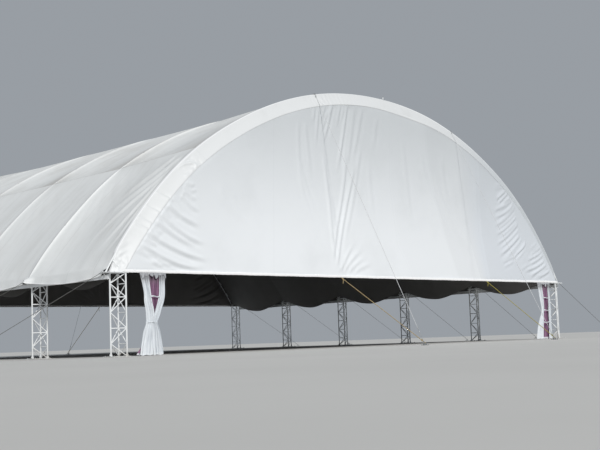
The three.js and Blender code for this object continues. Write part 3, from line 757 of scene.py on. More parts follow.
def ceiling_strip(bay, part, side):
    """One strip of the drape hung under the arches: an arc below their lower chords that sags from
    arch to arch as a parabola. An outer strip ends in a swagged edge, a power of a sine."""
    share = np.linspace(0, 1, 33)
    y = FRONT_Y + (bay + share) * BAY
    inner = RADIUS - CEILING_DROP
    edge = 3.0 - 0.42 * np.sin(np.pi * share) ** 1.5
    if part == "crown":
        angle = np.linspace(-HAUNCH, HAUNCH, 61)[:, None]
    else:
        end = np.arccos((edge - CENTRE_Z) / inner)
        angle = side * (HAUNCH + np.linspace(0, 1, 31)[:, None] * (end - HAUNCH))
    sag = 1.2 * share * (1 - share) + 0.012 * np.sin(share * 25 + angle * 9) * np.sin(np.pi * share)
    points = on_arch(arch_radius(angle, inner_share(y)) - CEILING_DROP - sag, angle, y)
    out = on_arch(1.0, angle.mean(), 0.0) - UP * CENTRE_Z
    piece = Piece(f"ceiling_drape_{bay + 1}_{part}", LINING, LINING)
    piece.cloth(points, out, together(angle * inner, y))
    made = piece.done("membrane", sharp=60)


for bay in range(BAYS):
    for side, part in ((0, "crown"), *SIDES):
        ceiling_strip(bay, part, side)


# Bevelled band at each end

# share of the way across, how far under the outline, and how far behind the end arch's plane
BAND_ACROSS = ((0.00, -0.010, 0.080), (0.07, -0.011, 0.010), (0.11, -0.006, -0.022), (0.15, 0.014, -0.046),
               (0.90, 0.495, -0.288), (0.94, 0.516, -0.2915), (0.97, 0.528, -0.291), (1.00, 0.534, -0.2865))
# how far the bevel looks outwards and forwards
BEVEL_OUT, BEVEL_AHEAD = 0.429, 0.903
# straight creases across the band: where each starts along it, and how much further it ends
BAND_CREASES = ((-13.44, 0.10), (-14.14, 0.08), (-14.68, 0.07), (-14.95, 0.07), (12.9, -0.08),
                (14.3, -0.05))


def edge_drop(angle):
    """How much lower the band's inner edge hangs just right of the crown: a bell curve."""
    return 0.09 * np.exp(-((angle - math.radians(7)) / math.radians(6)) ** 2)


def band_folds(s, w):
    """Creases of the band: s runs along it from the crown and w across it, both in metres."""
    lift = -0.012 * np.sin(np.pi * np.clip(w / 0.6, 0, 1))
    for at, slant in BAND_CREASES:
        lift += fold(s, w, [(at, 0.02), (at + slant, 0.6)], 0.045, 0.013, (0.05, 0.05), 1.0)
    lift += crumple(s, w, (-11.62, 0.3), (0.42, 0.22), 12, 0.075, 0.014, 5)
    lift += fold(s, w, [(-11.95, 0.05), (-11.55, 0.25), (-11.50, 0.58)], 0.07, 0.032, (0.1, 0.1))
    lift += fold(s, w, [(-11.25, 0.30), (-11.32, 0.6)], 0.06, 0.020, (0.3, 0.05))
    lift += crumple(s, w, (11.62, 0.3), (0.4, 0.24), 10, 0.075, 0.016, 6)
    for foot in (-16.4, 16.4):
        lift += crumple(s, w, (foot, 0.3), (0.6, 0.26), 14, 0.07, 0.016, 8)
    lift += fold(s, w, [(-3.92, 0.04), (-3.62, 0.6)], 0.06, 0.020, (0.1, 0.08), 0.9)
    lift += fold(s, w, [(-3.62, 0.04), (-3.38, 0.45)], 0.05, 0.014, (0.1, 0.3))
    pleat = np.exp(-((s + 3.1) / 1.2) ** 2)
    lift += 0.007 * pleat * np.sin(s * 25 + w * 3) * (0.6 + 0.4 * np.sin(s * 7.3))
    lift += 0.0025 * np.sin(s * 3.3 + w * 5)
    return lift


def band(rear, part, start, end):
    """One length of the band round an end arch: the profile from the roof over the rim, down the
    bevel and round the rolled inner edge, carried along the arch; folds are added square to it, and
    over the last degrees a smooth step draws the outer edge in to the column."""
    knots, drops, depths = np.array(BAND_ACROSS).T
    v = np.concatenate([np.linspace(0, 0.15, 7, endpoint=False), np.linspace(0.15, 0.9, 19, endpoint=False),
                        np.linspace(0.9, 1, 7)])
    length = abs(end - start) * RADIUS
    t = np.linspace(0, 1, max(90, int(length / 0.035)))
    t, share = np.meshgrid(t, v, indexing="ij")
    a = start + (end - start) * t
    if part != "crown":
        side = -1 if part == "left" else 1
        foot = side * np.array([angle_at(drop, FOOT_TOP + 0.004) for drop in np.interp(v, knots, drops)])
        a = foot + (end - foot) * t if side < 0 else start + (foot - start) * t
    w = np.clip(share - 0.13, 0, 1) * 0.6 / 0.8
    lift = band_folds(a * RADIUS, w) * smooth((share - 0.1) / 0.1) * smooth((0.95 - share) / 0.08)
    if part == "crown":
        lift = lift + 0.003
    radius = arch_radius(a) - np.interp(share, knots, drops) - edge_drop(a) * smooth(share)
    points = on_arch(radius + BEVEL_OUT * lift, a, np.interp(share, knots, depths) - BEVEL_AHEAD * lift)
    points[..., 0] -= np.sign(a) * 0.20 * drawn_in(a) * smooth(1.1 - share)
    piece = Piece(f"{end_name(rear)}_band_{part}", BAND, LINING)
    out = np.array([math.sin((start + end) / 2) * BEVEL_OUT, -BEVEL_AHEAD, 0.4])
    if rear:
        out = out * np.array([-1, -1, 1])
    piece.cloth(at_end(points, rear), out, together(a * RADIUS, w))
    made = piece.done("membrane", f"{end_name(rear)}_band", sharp=60)


# Gable cloth

# enlarged crops of the photograph: column and row of the corner, and how many times enlarged
CROPS = {"left": (115, 150, 1394 / 120), "right": (470, 165, 1241 / 95), "crown": (230, 90, 1568 / 120),
         "middle": (280, 90, 941 / 120), "left_fine": (100, 120, 9.8), "right_fine": (400, 80, 1344 / 180),
         "wide_left": (0, 60, 1568 / 300), "wide_right": (280, 60, 1568 / 300)}
# groups of folds: crop, width, height, the shares over which a fold fades in and out, how far its
# ridge lies from the dark line beside it, and those dark lines, given as places on the crop
GABLE_FOLDS = (
    ("left", 0.088, 0.052, 0.09, 0.38, 0.108, (
        ((590, 640), (700, 735), (800, 815), (900, 870), (1010, 925)),
        ((510, 745), (650, 880), (800, 1010), (940, 1075), (1080, 1125)),
        ((460, 840), (600, 945), (720, 1030), (850, 1105), (960, 1150)),
        ((370, 980), (510, 1070), (680, 1170), (880, 1250), (1130, 1310)),
        ((270, 1100), (420, 1190), (600, 1300), (800, 1372), (1060, 1395)),
    )),
    ("left", 0.072, 0.031, 0.09, 0.4, 0.077, (
        ((650, 560), (700, 620), (745, 690), (800, 745)), ((545, 705), (600, 765), (660, 810)),
        ((420, 890), (490, 950), (570, 1000)), ((385, 935), (450, 985), (540, 1040)),
        ((320, 1035), (400, 1090), (500, 1140)), ((230, 1150), (330, 1215), (440, 1275)),
        ((430, 1305), (500, 1350), (580, 1375)), ((480, 1285), (560, 1330), (680, 1370)),
        ((800, 385), (860, 415), (940, 430)), ((790, 440), (860, 478), (960, 490)),
        ((790, 495), (860, 545), (960, 615)), ((760, 545), (830, 610), (900, 680), (1000, 720)),
    )),
    ("crown", 0.085, 0.044, 0.05, 0.45, 0.077, (
        ((1340, 200), (1305, 380), (1262, 570), (1232, 720)),
        ((1540, 200), (1505, 450), (1470, 700), (1430, 930), (1395, 1150)),
    )),
    ("crown", 0.075, 0.026, 0.05, 0.5, 0.067, (
        ((1165, 215), (1156, 400), (1142, 580), (1130, 780)), ((1112, 235), (1106, 340), (1100, 440)),
        ((1185, 230), (1210, 380), (1235, 470)), ((1245, 225), (1225, 330), (1205, 440)),
        ((1280, 300), (1240, 440), (1200, 590)), ((1455, 195), (1435, 290), (1412, 420), (1400, 520)),
        ((1500, 195), (1478, 320), (1462, 430)),
    )),
    ("middle", 0.09, 0.036, 0.25, 0.12, 0.081, (
        ((508, 440), (520, 580), (500, 740), (478, 930), (455, 1090), (436, 1330)),
        ((600, 560), (560, 740), (528, 900), (495, 1090), (458, 1400)),
        ((335, 440), (370, 700), (392, 900), (415, 1130), (437, 1350)),
    )),
    ("middle", 0.1, 0.018, 0.12, 0.45, 0.09, (
        ((590, 130), (578, 260), (556, 420), (532, 600), (510, 760)),
        ((655, 130), (640, 220), (618, 340), (590, 480), (560, 600)),
        ((640, 450), (615, 620), (588, 800), (545, 1050), (500, 1260)),
        ((150, 230), (160, 560), (195, 830), (250, 980), (320, 1130)),
        ((170, 540), (195, 690), (225, 800), (265, 910), (310, 1000)),
        ((205, 250), (222, 430), (240, 600), (255, 720)), ((765, 220), (748, 380), (735, 500)),
        ((400, 820), (425, 1000), (440, 1200)),
    )),
    ("middle", 0.09, 0.024, 0.05, 0.6, 0.08, (
        ((480, 1420), (530, 1310), (570, 1230), (610, 1170)),
        ((505, 1425), (560, 1350), (615, 1290), (670, 1240)), ((545, 1430), (610, 1370), (690, 1320)),
        ((600, 1430), (660, 1395), (740, 1370)),
    )),
    ("right", 0.075, 0.06, 0.25, 0.1, 0.072, (
        ((345, 465), (400, 412), (458, 358)), ((375, 502), (445, 435), (492, 385)),
    )),
    ("right", 0.085, 0.043, 0.35, 0.12, 0.081, (
        ((430, 505), (475, 478), (522, 440)), ((300, 618), (420, 565), (485, 520), (542, 460)),
        ((320, 715), (440, 650), (515, 585), (572, 500)),
        ((310, 808), (400, 768), (500, 680), (592, 560)),
        ((320, 925), (430, 868), (520, 785), (610, 690)),
        ((330, 1062), (430, 990), (535, 890), (632, 770)),
        ((370, 1210), (470, 1130), (570, 1030), (650, 930)),
        ((575, 1210), (640, 1145), (690, 1090), (730, 1025)),
        ((740, 1270), (820, 1225), (885, 1185), (942, 1120)),
        ((770, 1312), (850, 1275), (905, 1235), (955, 1185)),
        ((700, 1405), (800, 1375), (900, 1322), (978, 1258)),
        ((780, 1478), (860, 1430), (935, 1378), (1003, 1318)),
        ((860, 1505), (920, 1472), (990, 1430), (1045, 1385)),
    )),
    ("right", 0.08, 0.018, 0.4, 0.3, 0.072, (
        ((330, 862), (420, 808), (520, 722), (600, 622)),
        ((330, 985), (430, 925), (530, 835), (620, 730)),
        ((400, 1285), (500, 1215), (600, 1120), (690, 1010)), ((430, 1345), (510, 1310), (580, 1265)),
        ((600, 1250), (680, 1170), (745, 1080)), ((790, 1170), (850, 1110), (912, 1050)),
        ((780, 1120), (835, 1070), (882, 1018)), ((850, 1150), (890, 1120), (928, 1085)),
        ((650, 1400), (730, 1340), (800, 1300)), ((320, 290), (360, 280), (420, 262)),
        ((310, 330), (370, 320), (430, 300)),
    )),
    ("left_fine", 0.06, 0.016, 0.12, 0.4, 0.055, (
        ((645, 850), (680, 900), (720, 940), (780, 970)), ((500, 1055), (540, 1100), (600, 1150)),
        ((470, 1100), (520, 1150), (580, 1200)), ((440, 1150), (500, 1210), (570, 1260)),
        ((425, 1210), (480, 1260), (560, 1310)), ((410, 1260), (470, 1310), (560, 1360), (660, 1420)),
        ((700, 780), (740, 840), (790, 910)), ((830, 650), (870, 665), (930, 665)),
        ((820, 700), (870, 725), (930, 740)),
    )),
    ("right_fine", 0.06, 0.022, 0.25, 0.15, 0.055, (
        ((720, 1005), (785, 960), (838, 905)), ((740, 1060), (800, 1010), (855, 940)),
        ((730, 1120), (805, 1060), (866, 990)), ((740, 1185), (820, 1120), (878, 1050)),
        ((750, 1260), (830, 1190), (890, 1120)), ((800, 1320), (860, 1255), (915, 1190)),
        ((830, 1350), (880, 1300), (930, 1240)), ((970, 1320), (1010, 1290), (1055, 1245)),
        ((980, 1460), (1040, 1420), (1095, 1370)), ((1010, 1480), (1060, 1445), (1110, 1400)),
        ((765, 1370), (810, 1350), (850, 1320)),
    )),
    ("wide_right", 0.12, 0.016, 0.3, 0.4, 0.108, (
        ((640, 380), (660, 560), (682, 760), (700, 900)),
        ((735, 440), (770, 620), (830, 790), (900, 910), (960, 1010)),
        ((800, 560), (840, 700), (905, 850), (990, 985)), ((850, 500), (862, 640), (890, 780)),
        ((925, 560), (945, 700), (965, 850)), ((1015, 560), (1030, 660), (1038, 850)),
        ((470, 520), (480, 700), (500, 850)),
    )),
    ("wide_left", 0.12, 0.014, 0.3, 0.4, 0.108, (
        ((1150, 640), (1190, 740), (1250, 830)), ((1215, 690), (1260, 800), (1320, 880)),
    )),
)
# the welds between the gable's panels, from the top down, with one beyond each edge
SEAMS = (((-15.0, 10.0), (-15.0, 3.0)), ((-6.33, 9.11), (-6.48, 5.83), (-6.60, 3.09)),
         ((0.73, 10.30), (0.57, 6.98), (0.93, 4.35), (1.81, 3.10)),
         ((3.26, 10.06), (3.23, 8.76), (3.77, 6.30), (4.39, 4.72), (5.20, 3.05)),
         ((5.79, 9.50), (5.99, 5.49), (6.97, 3.05)),
         ((7.06, 8.46), (6.98, 6.75), (6.99, 5.06), (7.50, 3.0)),
         ((15.0, 10.0), (15.0, 3.0)))


def seen_on_gable(spots):
    """Where lines of sight through columns and rows of the photograph meet the gable, as x and z."""
    right, above, ahead = camera_axes()
    across, down = ((spots - PICTURE / 2) / (LENS / SENSOR * PICTURE[0])).T[:, :, None]
    sight = ahead + right * across - above * down
    reach = (FRONT_Y + GABLE_Y - EYE[1]) / sight[:, 1:2]
    return (EYE + sight * reach)[:, [0, 2]]


def gable_lines(crop, shift, lines):
    """The middle lines of a group's folds, to the centimetre: above the dark line on the photograph,
    or left of a steep one."""
    column, row, enlarged = CROPS[crop]
    for line in lines:
        at = seen_on_gable(np.array(line) / enlarged + (column, row))
        run, rise = np.abs(at[-1] - at[0])
        yield np.round(at + ((0, shift) if run > rise else (-shift, 0)), 2)


def gable(rear):
    """The upright gable cloth: columns at a row of x, each running from the hem to the arch's inner
    outline, set forward by folds and by a long shallow wave."""
    under = GABLE_DROP - 0.012
    reach = (RADIUS - under) * math.sin(angle_at(under, HEM_TOP - 0.01)) - 0.03
    zones = ((-reach, -9.6, 84), (-9.6, -7.8, 26), (-7.8, -5.3, 24), (-5.3, -0.9, 104), (-0.9, 5.6, 80),
             (5.6, 8.2, 20), (8.2, reach, 112))
    xs = np.concatenate([np.linspace(a, b, n, endpoint=False) for a, b, n in zones] + [[reach]])
    top = np.full(len(xs), CENTRE_Z + RADIUS)
    for _ in range(5):
        angle = np.arctan2(xs, top - CENTRE_Z)
        radius = arch_radius(angle) - under - edge_drop(angle)
        top = CENTRE_Z + np.sqrt(radius ** 2 - xs ** 2)
    low = HEM_TOP - 0.03
    share = np.linspace(0, 1, 102)[:, None]
    z = low + share * np.maximum(top - low, 0.02)
    x = xs + 0 * z
    lift = 0.012 * np.sin(x * 0.9 + 0.4) * np.sin(z * 0.7) + 0.004 * np.sin(x * 2.3 + z * 0.8)
    for crop, width, height, fade_in, fade_out, shift, lines in GABLE_FOLDS:
        for path in gable_lines(crop, shift, lines):
            lift += fold(x, z, path, width, height, (fade_in, fade_out))
    rim = 0.2 * smooth((top - z) / 0.04) + 0.8 * smooth((top - z - 0.03) / 0.16)
    hold = rim * smooth((z - low) / 0.10)
    points = np.stack([x, GABLE_Y - lift * hold, z], -1)
    at = np.array([np.interp(z, *np.array(line)[::-1, ::-1].T) for line in SEAMS])
    index = (x[None] > at[1:-1]).sum(0)
    before = np.take_along_axis(at, index[None], 0)[0]
    after = np.take_along_axis(at, index[None] + 1, 0)[0]
    panel = index + (x - before) / (after - before)
    away = np.where(x - before < after - x, x - before, x - after)
    uv = together(panel, np.clip(away, -0.3, 0.3))
    piece = Piece(f"{end_name(rear)}_gable_cloth", GABLE, LINING)
    piece.cloth(at_end(points, rear), -AHEAD if rear else AHEAD, uv)
    made = piece.done("membrane", f"{end_name(rear)}_gable", sharp=60)
    return made, float(np.trapz(top - low, xs)), 2 * reach, float(top.max() - low)


def hem(rear):
    """The rolled lower edge of the gable: a rounded flat profile carried across the front, with
    stitched ripples, a row of eyelets and short lacing loops."""
    piece = Piece(f"{end_name(rear)}_hem_roll", HEM, PAINT, HEM)
    xs = np.linspace(-13.63, 13.63, 420)
    turn = 2 * np.pi * np.arange(14) / 14
    ripple = 0.0025 * np.sin(xs * 23) + 0.0018 * np.sin(xs * 41 + 1)
    shape = np.sign(np.cos(turn)) * np.abs(np.cos(turn)) ** 0.7, np.sin(turn)
    deep = (0.017 + ripple)[:, None] * shape[0]
    tall = (0.050 + ripple)[:, None] * shape[1]
    middle = 2.910 - 0.006 * np.sin(np.pi * (xs / 1.4)) ** 2
    ring = together(xs[:, None], HEM_Y - 0.0005 + deep, middle[:, None] + tall)
    piece.rings(at_end(ring[:, ::-1], rear)[None])
    spots = np.arange(-13.2, 13.3, 0.6)
    out = -AHEAD if rear else AHEAD
    piece.bolts(at_end(together(spots, HEM_Y - 0.0165, 2.93), rear), 0.010, 0.005, 1, out)
    tops = together(spots, HEM_Y - 0.02, 2.93)
    ends = tops + np.array([0.012, 0.008, 0.055])
    piece.bars(at_end(tops, rear), at_end(ends, rear), 0.004, 6, 2)
    return piece.done("membrane", f"{end_name(rear)}_hem")


for rear in (False, True):
    foot = angle_at(0.0, FOOT_TOP + 0.01)
    band(rear, "left", -foot, -HAUNCH + 0.002)
    band(rear, "crown", -HAUNCH - 0.012, HAUNCH + 0.012)
    band(rear, "right", HAUNCH - 0.002, foot)
    made, area, width, height = gable(rear)
    hem(rear)


# Lattice frames

def lattice(piece, rails, panels, samples, side):
    """Three round chords and the bars between them. Each rail gives points at distances counted in
    panels: bars zigzag from the inner chords at whole panels to the outer chord at half panels, and
    the inner face has a strut and two slanted bars in each panel."""
    outer, front, back = rails
    for rail in rails:
        piece.tube(rail(np.linspace(0, panels, samples)), CHORD, 12, side)
    whole, half = np.arange(panels + 1.0), np.arange(panels) + 0.5
    pairs = [(back(half), front(half)), (back(whole[:-1]), front(half)), (front(half), back(whole[1:]))]
    for inner in (front, back):
        pairs += [(inner(whole[:-1]), outer(half)), (outer(half), inner(whole[1:])),
                  (outer(whole[1:-1]), inner(whole[1:-1]))]
    piece.bars(np.concatenate([p[0] for p in pairs]), np.concatenate([p[1] for p in pairs]), BAR)


def plate(piece, x, y, z, chamfer=0.004, finish=0):
    """A level plate between two x, two y and two z."""
    middle = ((x[0] + x[1]) / 2, (y[0] + y[1]) / 2)
    wide, deep = abs(x[1] - x[0]), abs(y[1] - y[0])
    piece.beam((*middle, z[0]), (*middle, z[1]), (1, 0, 0), wide, deep, chamfer, finish)


def around(x, y, half_x, half_y):
    """Two x and two y about a place."""
    return (x - half_x, x + half_x), (y - half_y, y + half_y)


def corners(x, y, z):
    """Every x with every y, at one height."""
    return np.array([(a, b, z) for a in x for b in y])


def foot_bolts(side, y, z):
    """Places of the bolts that join an arch's foot plate to a column's cap."""
    return np.concatenate([corners((side * 13.66, side * 13.98), (y - 0.215, y + 0.215), z),
                           corners((side * 13.82,), (y - 0.12, y + 0.12), z)])


def arch(k):
    """A lattice arch: its three chords follow the arch outline from foot plate to foot plate. On an
    inner arch a low rounded rail, a profile carried along the outline, clamps the cloths' edges."""
    y = FRONT_Y + k * BAY
    piece = Piece(f"lattice_arch_{k + 1}", PAINT, ZINC, ROOF)
    panels = 34
    inward = float(inner_share(y))

    def rail(drop, shift):
        end = angle_at(drop, FOOT_TOP - 0.01)

        def points(distance):
            angle = end * (2 * distance / panels - 1)
            return on_arch(arch_radius(angle, inward) - drop, angle, y + shift)
        return points

    if inward:
        profile = np.array([(-0.022, -0.012), (-0.020, 0.004), (-0.011, 0.010), (0.011, 0.010),
                            (0.020, 0.004), (0.022, -0.012), (0.011, -0.016), (-0.011, -0.016)])[::-1]
        turn = np.linspace(-CREASE_ANGLE, CREASE_ANGLE, 171)[:, None]
        piece.rings(on_arch(arch_radius(turn, inward) + profile[:, 1], turn, y + profile[:, 0])[None], 2)
    inner = CHORD_DROP + TRUSS_DEPTH
    rails = [rail(CHORD_DROP, 0.0), rail(inner, -TRUSS_HALF), rail(inner, TRUSS_HALF)]
    lattice(piece, rails, panels, 2 * panels + 1, (0, 1, 0))
    for distance in (6.5, 12.5, 17.5, 21.5, 27.5):
        for points in rails:
            pair = points(np.array([distance - 0.02, distance + 0.02]))
            piece.bars(pair[:1], pair[1:], CHORD * 1.75, 12)
    for side in (-1, 1):
        for xs, half in ((FOOT_X, 0.267), ((14.1, LUG_X), 0.04)):
            plate(piece, side * np.array(xs), (y - half, y + half), (COLUMN_TOP + 0.0003, FOOT_TOP))
        piece.bolts(foot_bolts(side, y, FOOT_TOP), 0.016, 0.018, 1)
    piece.done("frame_paint", f"arch_{k + 1}")


# heights of the struts and of the bars' outer ends, in turn
COLUMN_KNOTS = (0.018, 0.44, 0.965, 1.50, 2.02, 2.48, COLUMN_TOP - 0.018)


def column(k, side, name):
    """A lattice column: three upright chords with welded fins on a bolted base plate, under a cap."""
    y = FRONT_Y + k * BAY
    piece = Piece(f"lattice_column_{name}_{k + 1}", PAINT, ZINC)
    inner_x = COLUMN_X - COLUMN_DEPTH
    feet = ((COLUMN_X, 0.0), (inner_x, -TRUSS_HALF), (inner_x, TRUSS_HALF))

    def rail(x, shift):
        def points(distance):
            z = np.interp(distance, np.arange(7) / 2, COLUMN_KNOTS)
            return together(side * x, y + shift, z)
        return points

    lattice(piece, [rail(*foot) for foot in feet], 3, 7, (0, 1, 0))
    middle = side * (COLUMN_X - COLUMN_DEPTH / 2)
    plate(piece, *around(middle, y, 0.35, 0.32), (0.0, 0.02))
    plate(piece, side * np.array(FOOT_X), (y - 0.2825, y + 0.2825), (CAP_UNDER, COLUMN_TOP))
    for x, shift in feet:
        for turn in range(4):
            arm = np.array([math.cos(turn * math.pi / 2), math.sin(turn * math.pi / 2), 0])
            base = np.array([side * x, y + shift, 0.018]) + arm * 0.042
            piece.beam(base, base + UP * 0.07, arm, 0.028, 0.008, 0.002)
    xs = (middle - 0.29, middle + 0.29)
    piece.bolts(corners(xs, (y - 0.265, y, y + 0.265), 0.02), 0.018, 0.026, 1)
    piece.bolts(foot_bolts(side, y, CAP_UNDER), 0.016, 0.018, 1, (0, 0, -1))
    piece.done("frame_paint", f"column_{name}_{k + 1}")


def purlin(side, name, place, at):
    """A round tube under the cloth from arch to arch, with a bracket at every arch."""
    piece = Piece(f"{place}_tube_{name}", PAINT, ZINC)
    angle = np.array(side * at)
    ys = FRONT_Y + BAY * np.arange(ARCHES)
    spots = on_arch(arch_radius(angle, inner_share(ys)) - 0.034, angle, ys)
    along = unit(spots[1:] - spots[:-1])
    piece.bars(spots[:-1] + along * 0.02, spots[1:] - along * 0.02, CHORD)
    collars = np.concatenate([spots[:-1] + along * 0.09, spots[1:] - along * 0.09])
    along = np.concatenate([along, along])
    piece.bars(collars - along * 0.012, collars + along * 0.012, 0.0335, 12, 1)
    piece.done("frame_paint", f"{place}_purlin_{name}")


for k in range(ARCHES):
    arch(k)
    for side, name in SIDES:
        column(k, side, name)
for side, name in SIDES:
    purlin(side, name, "haunch", HAUNCH)
    purlin(side, name, "crown", CROWN_PURLIN)
    # the eave beams are plain bars, so the solids stay and only take the paint
    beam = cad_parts[f"eave_beam_{name}"]
    beam.data.materials.clear()
    beam.data.materials.append(PAINT)


# Stays, ropes and ground anchors

def link(piece, middle, ahead, side, length, wide, thick, finish):
    """A closed oval link about a middle point: a tube round an ellipse in the plane square to side."""
    turn = np.linspace(0, 2 * np.pi, 16, endpoint=False)[:, None]
    over = np.cross(ahead, side)
    path = middle + ahead * np.cos(turn) * length / 2 + over * np.sin(turn) * wide / 2
    piece.tube(path, thick, 8, side, finish, closed=True)


def anchor(piece, x, y, half_x, half_y):
    """A ground plate with an upright lug and four spike heads."""
    plate(piece, *around(x, y, half_x + 0.06, half_y + 0.06), (0, 0.016), 0.003, 1)
    plate(piece, *around(x, y, half_x, half_y), (0.012, 0.072), 0.006, 1)
    spikes = corners(*around(x, y, half_x + 0.035, half_y + 0.035), 0.016)
    piece.bolts(spikes, 0.014, 0.02, 1)


def stay(piece, head, foot):
    """A taut wire rope from head to foot: an oval link at each end, pressed clamps, and a turnbuckle
    near the foot with two side rods between its bosses."""
    head, foot = np.array(head, float), np.array(foot, float)
    ahead = unit(foot - head)
    side = unit(np.cross(ahead, UP))
    length = np.linalg.norm(foot - head)

    def at(distance):
        return head + ahead * distance

    link(piece, at(0.03), ahead, side, 0.09, 0.05, 0.007, 1)
    link(piece, at(length - 0.035), ahead, side, 0.09, 0.05, 0.007, 1)
    low = length - 0.08
    piece.bars([at(0.07)], [at(low - 0.52)], 0.009, 8, 0)
    for d in (0.11, 0.15, low - 0.56, low - 0.60):
        piece.beam(at(d - 0.009), at(d + 0.009), side, 0.034, 0.030, 0.004, 1)
    piece.bars([at(low - 0.54), at(low - 0.14)], [at(low - 0.36), at(low + 0.02)], 0.009, 8, 1)
    piece.bars([at(low - 0.42), at(low - 0.14)], [at(low - 0.38), at(low - 0.10)], 0.022, 12, 1)
    rods = np.array([side * 0.017, side * -0.017])
    piece.bars(at(low - 0.41) + rods, at(low - 0.11) + rods, 0.006, 8, 1)


def rope(name, start, end, finish, node):
    """A taut three-strand rope: a round profile whose radius swells three times round and turns along
    it, with a wound knot at each end and a loose tail at the top."""
    start, end = np.array(start, float), np.array(end, float)
    piece = Piece(name, finish)
    ahead = unit(end - start)
    side = unit(np.cross(ahead, UP))
    over = np.cross(side, ahead)
    length = np.linalg.norm(end - start)
    d = np.linspace(0.0, length, int(length / 0.013))
    turn = 2 * np.pi * np.arange(12) / 12
    swell = 0.0125 + 0.0028 * np.cos(3 * (turn[None] - 2 * np.pi * d[:, None] / 0.10))
    piece.tube(start + ahead * d[:, None], swell, 12, side)
    for middle in (0.14, length - 0.22):
        s = np.linspace(0, 1, 60)[:, None]
        wind = 2 * np.pi * 4 * s
        ring = side * np.cos(wind) + over * np.sin(wind)
        piece.tube(start + ahead * (middle + 0.085 * (s - 0.5)) + 0.018 * ring, 0.0085, 8, ahead)
    s = np.linspace(0, 1, 24)[:, None]
    tail = start + ahead * (0.19 + 0.03 * s) - over * 0.02 + side * 0.05 * s - UP * 0.14 * s ** 1.4
    piece.tube(tail, 0.011, 8, side)
    piece.done("rope", node)


for rear in (False, True):
    for which, ridge_x, hem_x, out in END_LINES:
        angle = math.asin(ridge_x / RADIUS)
        ridge = on_arch(arch_radius(np.array(angle)) + 0.03, np.array(angle), -0.045)
        foot = np.array([ridge_x, -out, LUG_Z])
        inward = math.copysign(0.08, hem_x - ridge_x)
        piece = Piece(f"{end_name(rear)}_stay_{which}", WIRE, ZINC)
        ends = at_end(np.array([ridge, foot]), rear)
        stay(piece, *ends)
        over = at_end(np.array([ridge + [-0.05, 0.05, -0.012], ridge + [0.05, 0.05, -0.012]]), rear)
        piece.beam(over[0], over[1], (0, 1, 0), 0.09, 0.012, 0.003, 1)
        spot = at_end(np.array([[ridge_x + inward / 2, -out, 0.0]]), rear)[0]
        anchor(piece, spot[0], spot[1], 0.08, 0.03)
        piece.done("steel", f"{end_name(rear)}_cable_{which}")
        ends = at_end(np.array([[hem_x, HEM_Y, 2.865], [ridge_x + inward, -out, LUG_Z]]), rear)
        finish = TAN_ROPE if which == "left" else YELLOW_ROPE
        rope(f"{end_name(rear)}_guy_rope_{which}", *ends, finish, f"{end_name(rear)}_rope_{which}")

for side, name in SIDES:
    for k in range(ARCHES):
        y = FRONT_Y + k * BAY
        piece = Piece(f"side_guy_{name}_{k + 1}", SHADED_SIDE_WIRE, ZINC)
        stay(piece, (side * (LUG_X - 0.03), y, 2.87), (side * SIDE_ANCHOR_X, y, LUG_Z))
        anchor(piece, side * SIDE_ANCHOR_X, y, 0.03, 0.03)
        piece.done("steel", f"side_stay_{name}_{k + 1}")


# Curtains at the front corners

# name, middle, width of the narrow drape, waist height, ribbon heights, the waist's last edge
CURTAINS = (("left", -12.48, 0.65, 1.145, (2.035,), 6), ("right", 12.25, 0.42, 1.27, (2.08, 1.45, 0.84), 2))
DRAPES = {
    # height, then edges from the middle: left drape, purple cloth, right drape, all left then right
    "left": ((2.86, -0.53, -0.13, -0.16, 0.37, 0.30, 0.58), (2.52, -0.44, -0.10, -0.13, 0.35, 0.31, 0.55),
             (2.13, -0.35, -0.05, -0.08, 0.32, 0.30, 0.55), (1.87, -0.36, -0.01, -0.05, 0.26, 0.23, 0.49),
             (1.57, -0.30, 0.07, 0.00, 0.18, 0.12, 0.35), (1.38, -0.29, 0.09, -0.02, 0.16, 0.06, 0.29),
             (1.22, -0.28, 0.06, -0.05, 0.10, 0.02, 0.19), (1.10, -0.28, 0.04, -0.05, 0.09, 0.02, 0.18),
             (0.92, -0.36, 0.04, -0.14, 0.12, 0.03, 0.28), (0.78, -0.42, 0.04, -0.22, 0.15, 0.03, 0.32),
             (0.45, -0.49, 0.03, -0.33, 0.20, 0.02, 0.37), (0.28, -0.53, 0.02, -0.43, 0.24, 0.02, 0.40),
             (0.15, -0.55, 0.01, -0.56, 0.26, 0.02, 0.42), (0.02, -0.57, 0.00, -0.64, 0.28, 0.02, 0.44)),
    "right": ((2.86, -0.51, -0.09, -0.13, 0.50, 0.42, 0.60), (2.19, -0.37, 0.02, -0.03, 0.49, 0.44, 0.60),
              (1.53, -0.22, 0.04, 0.02, 0.54, 0.44, 0.60), (1.27, -0.27, -0.03, -0.02, 0.54, 0.43, 0.60),
              (1.10, -0.38, -0.04, -0.04, 0.54, 0.42, 0.60), (0.90, -0.47, -0.06, -0.08, 0.54, 0.41, 0.61),
              (0.57, -0.67, -0.12, -0.18, 0.54, 0.38, 0.62), (0.02, -0.82, -0.18, -0.26, 0.54, 0.35, 0.63)),
}


def edges(which, column, z):
    """An edge of a drape at heights z, in metres from the curtain's middle, smoothed over 0.1 m."""
    rows = np.array(DRAPES[which])[::-1]
    return np.mean([np.interp(z + d, rows[:, 0], rows[:, column]) for d in np.linspace(-0.1, 0.1, 9)], 0)


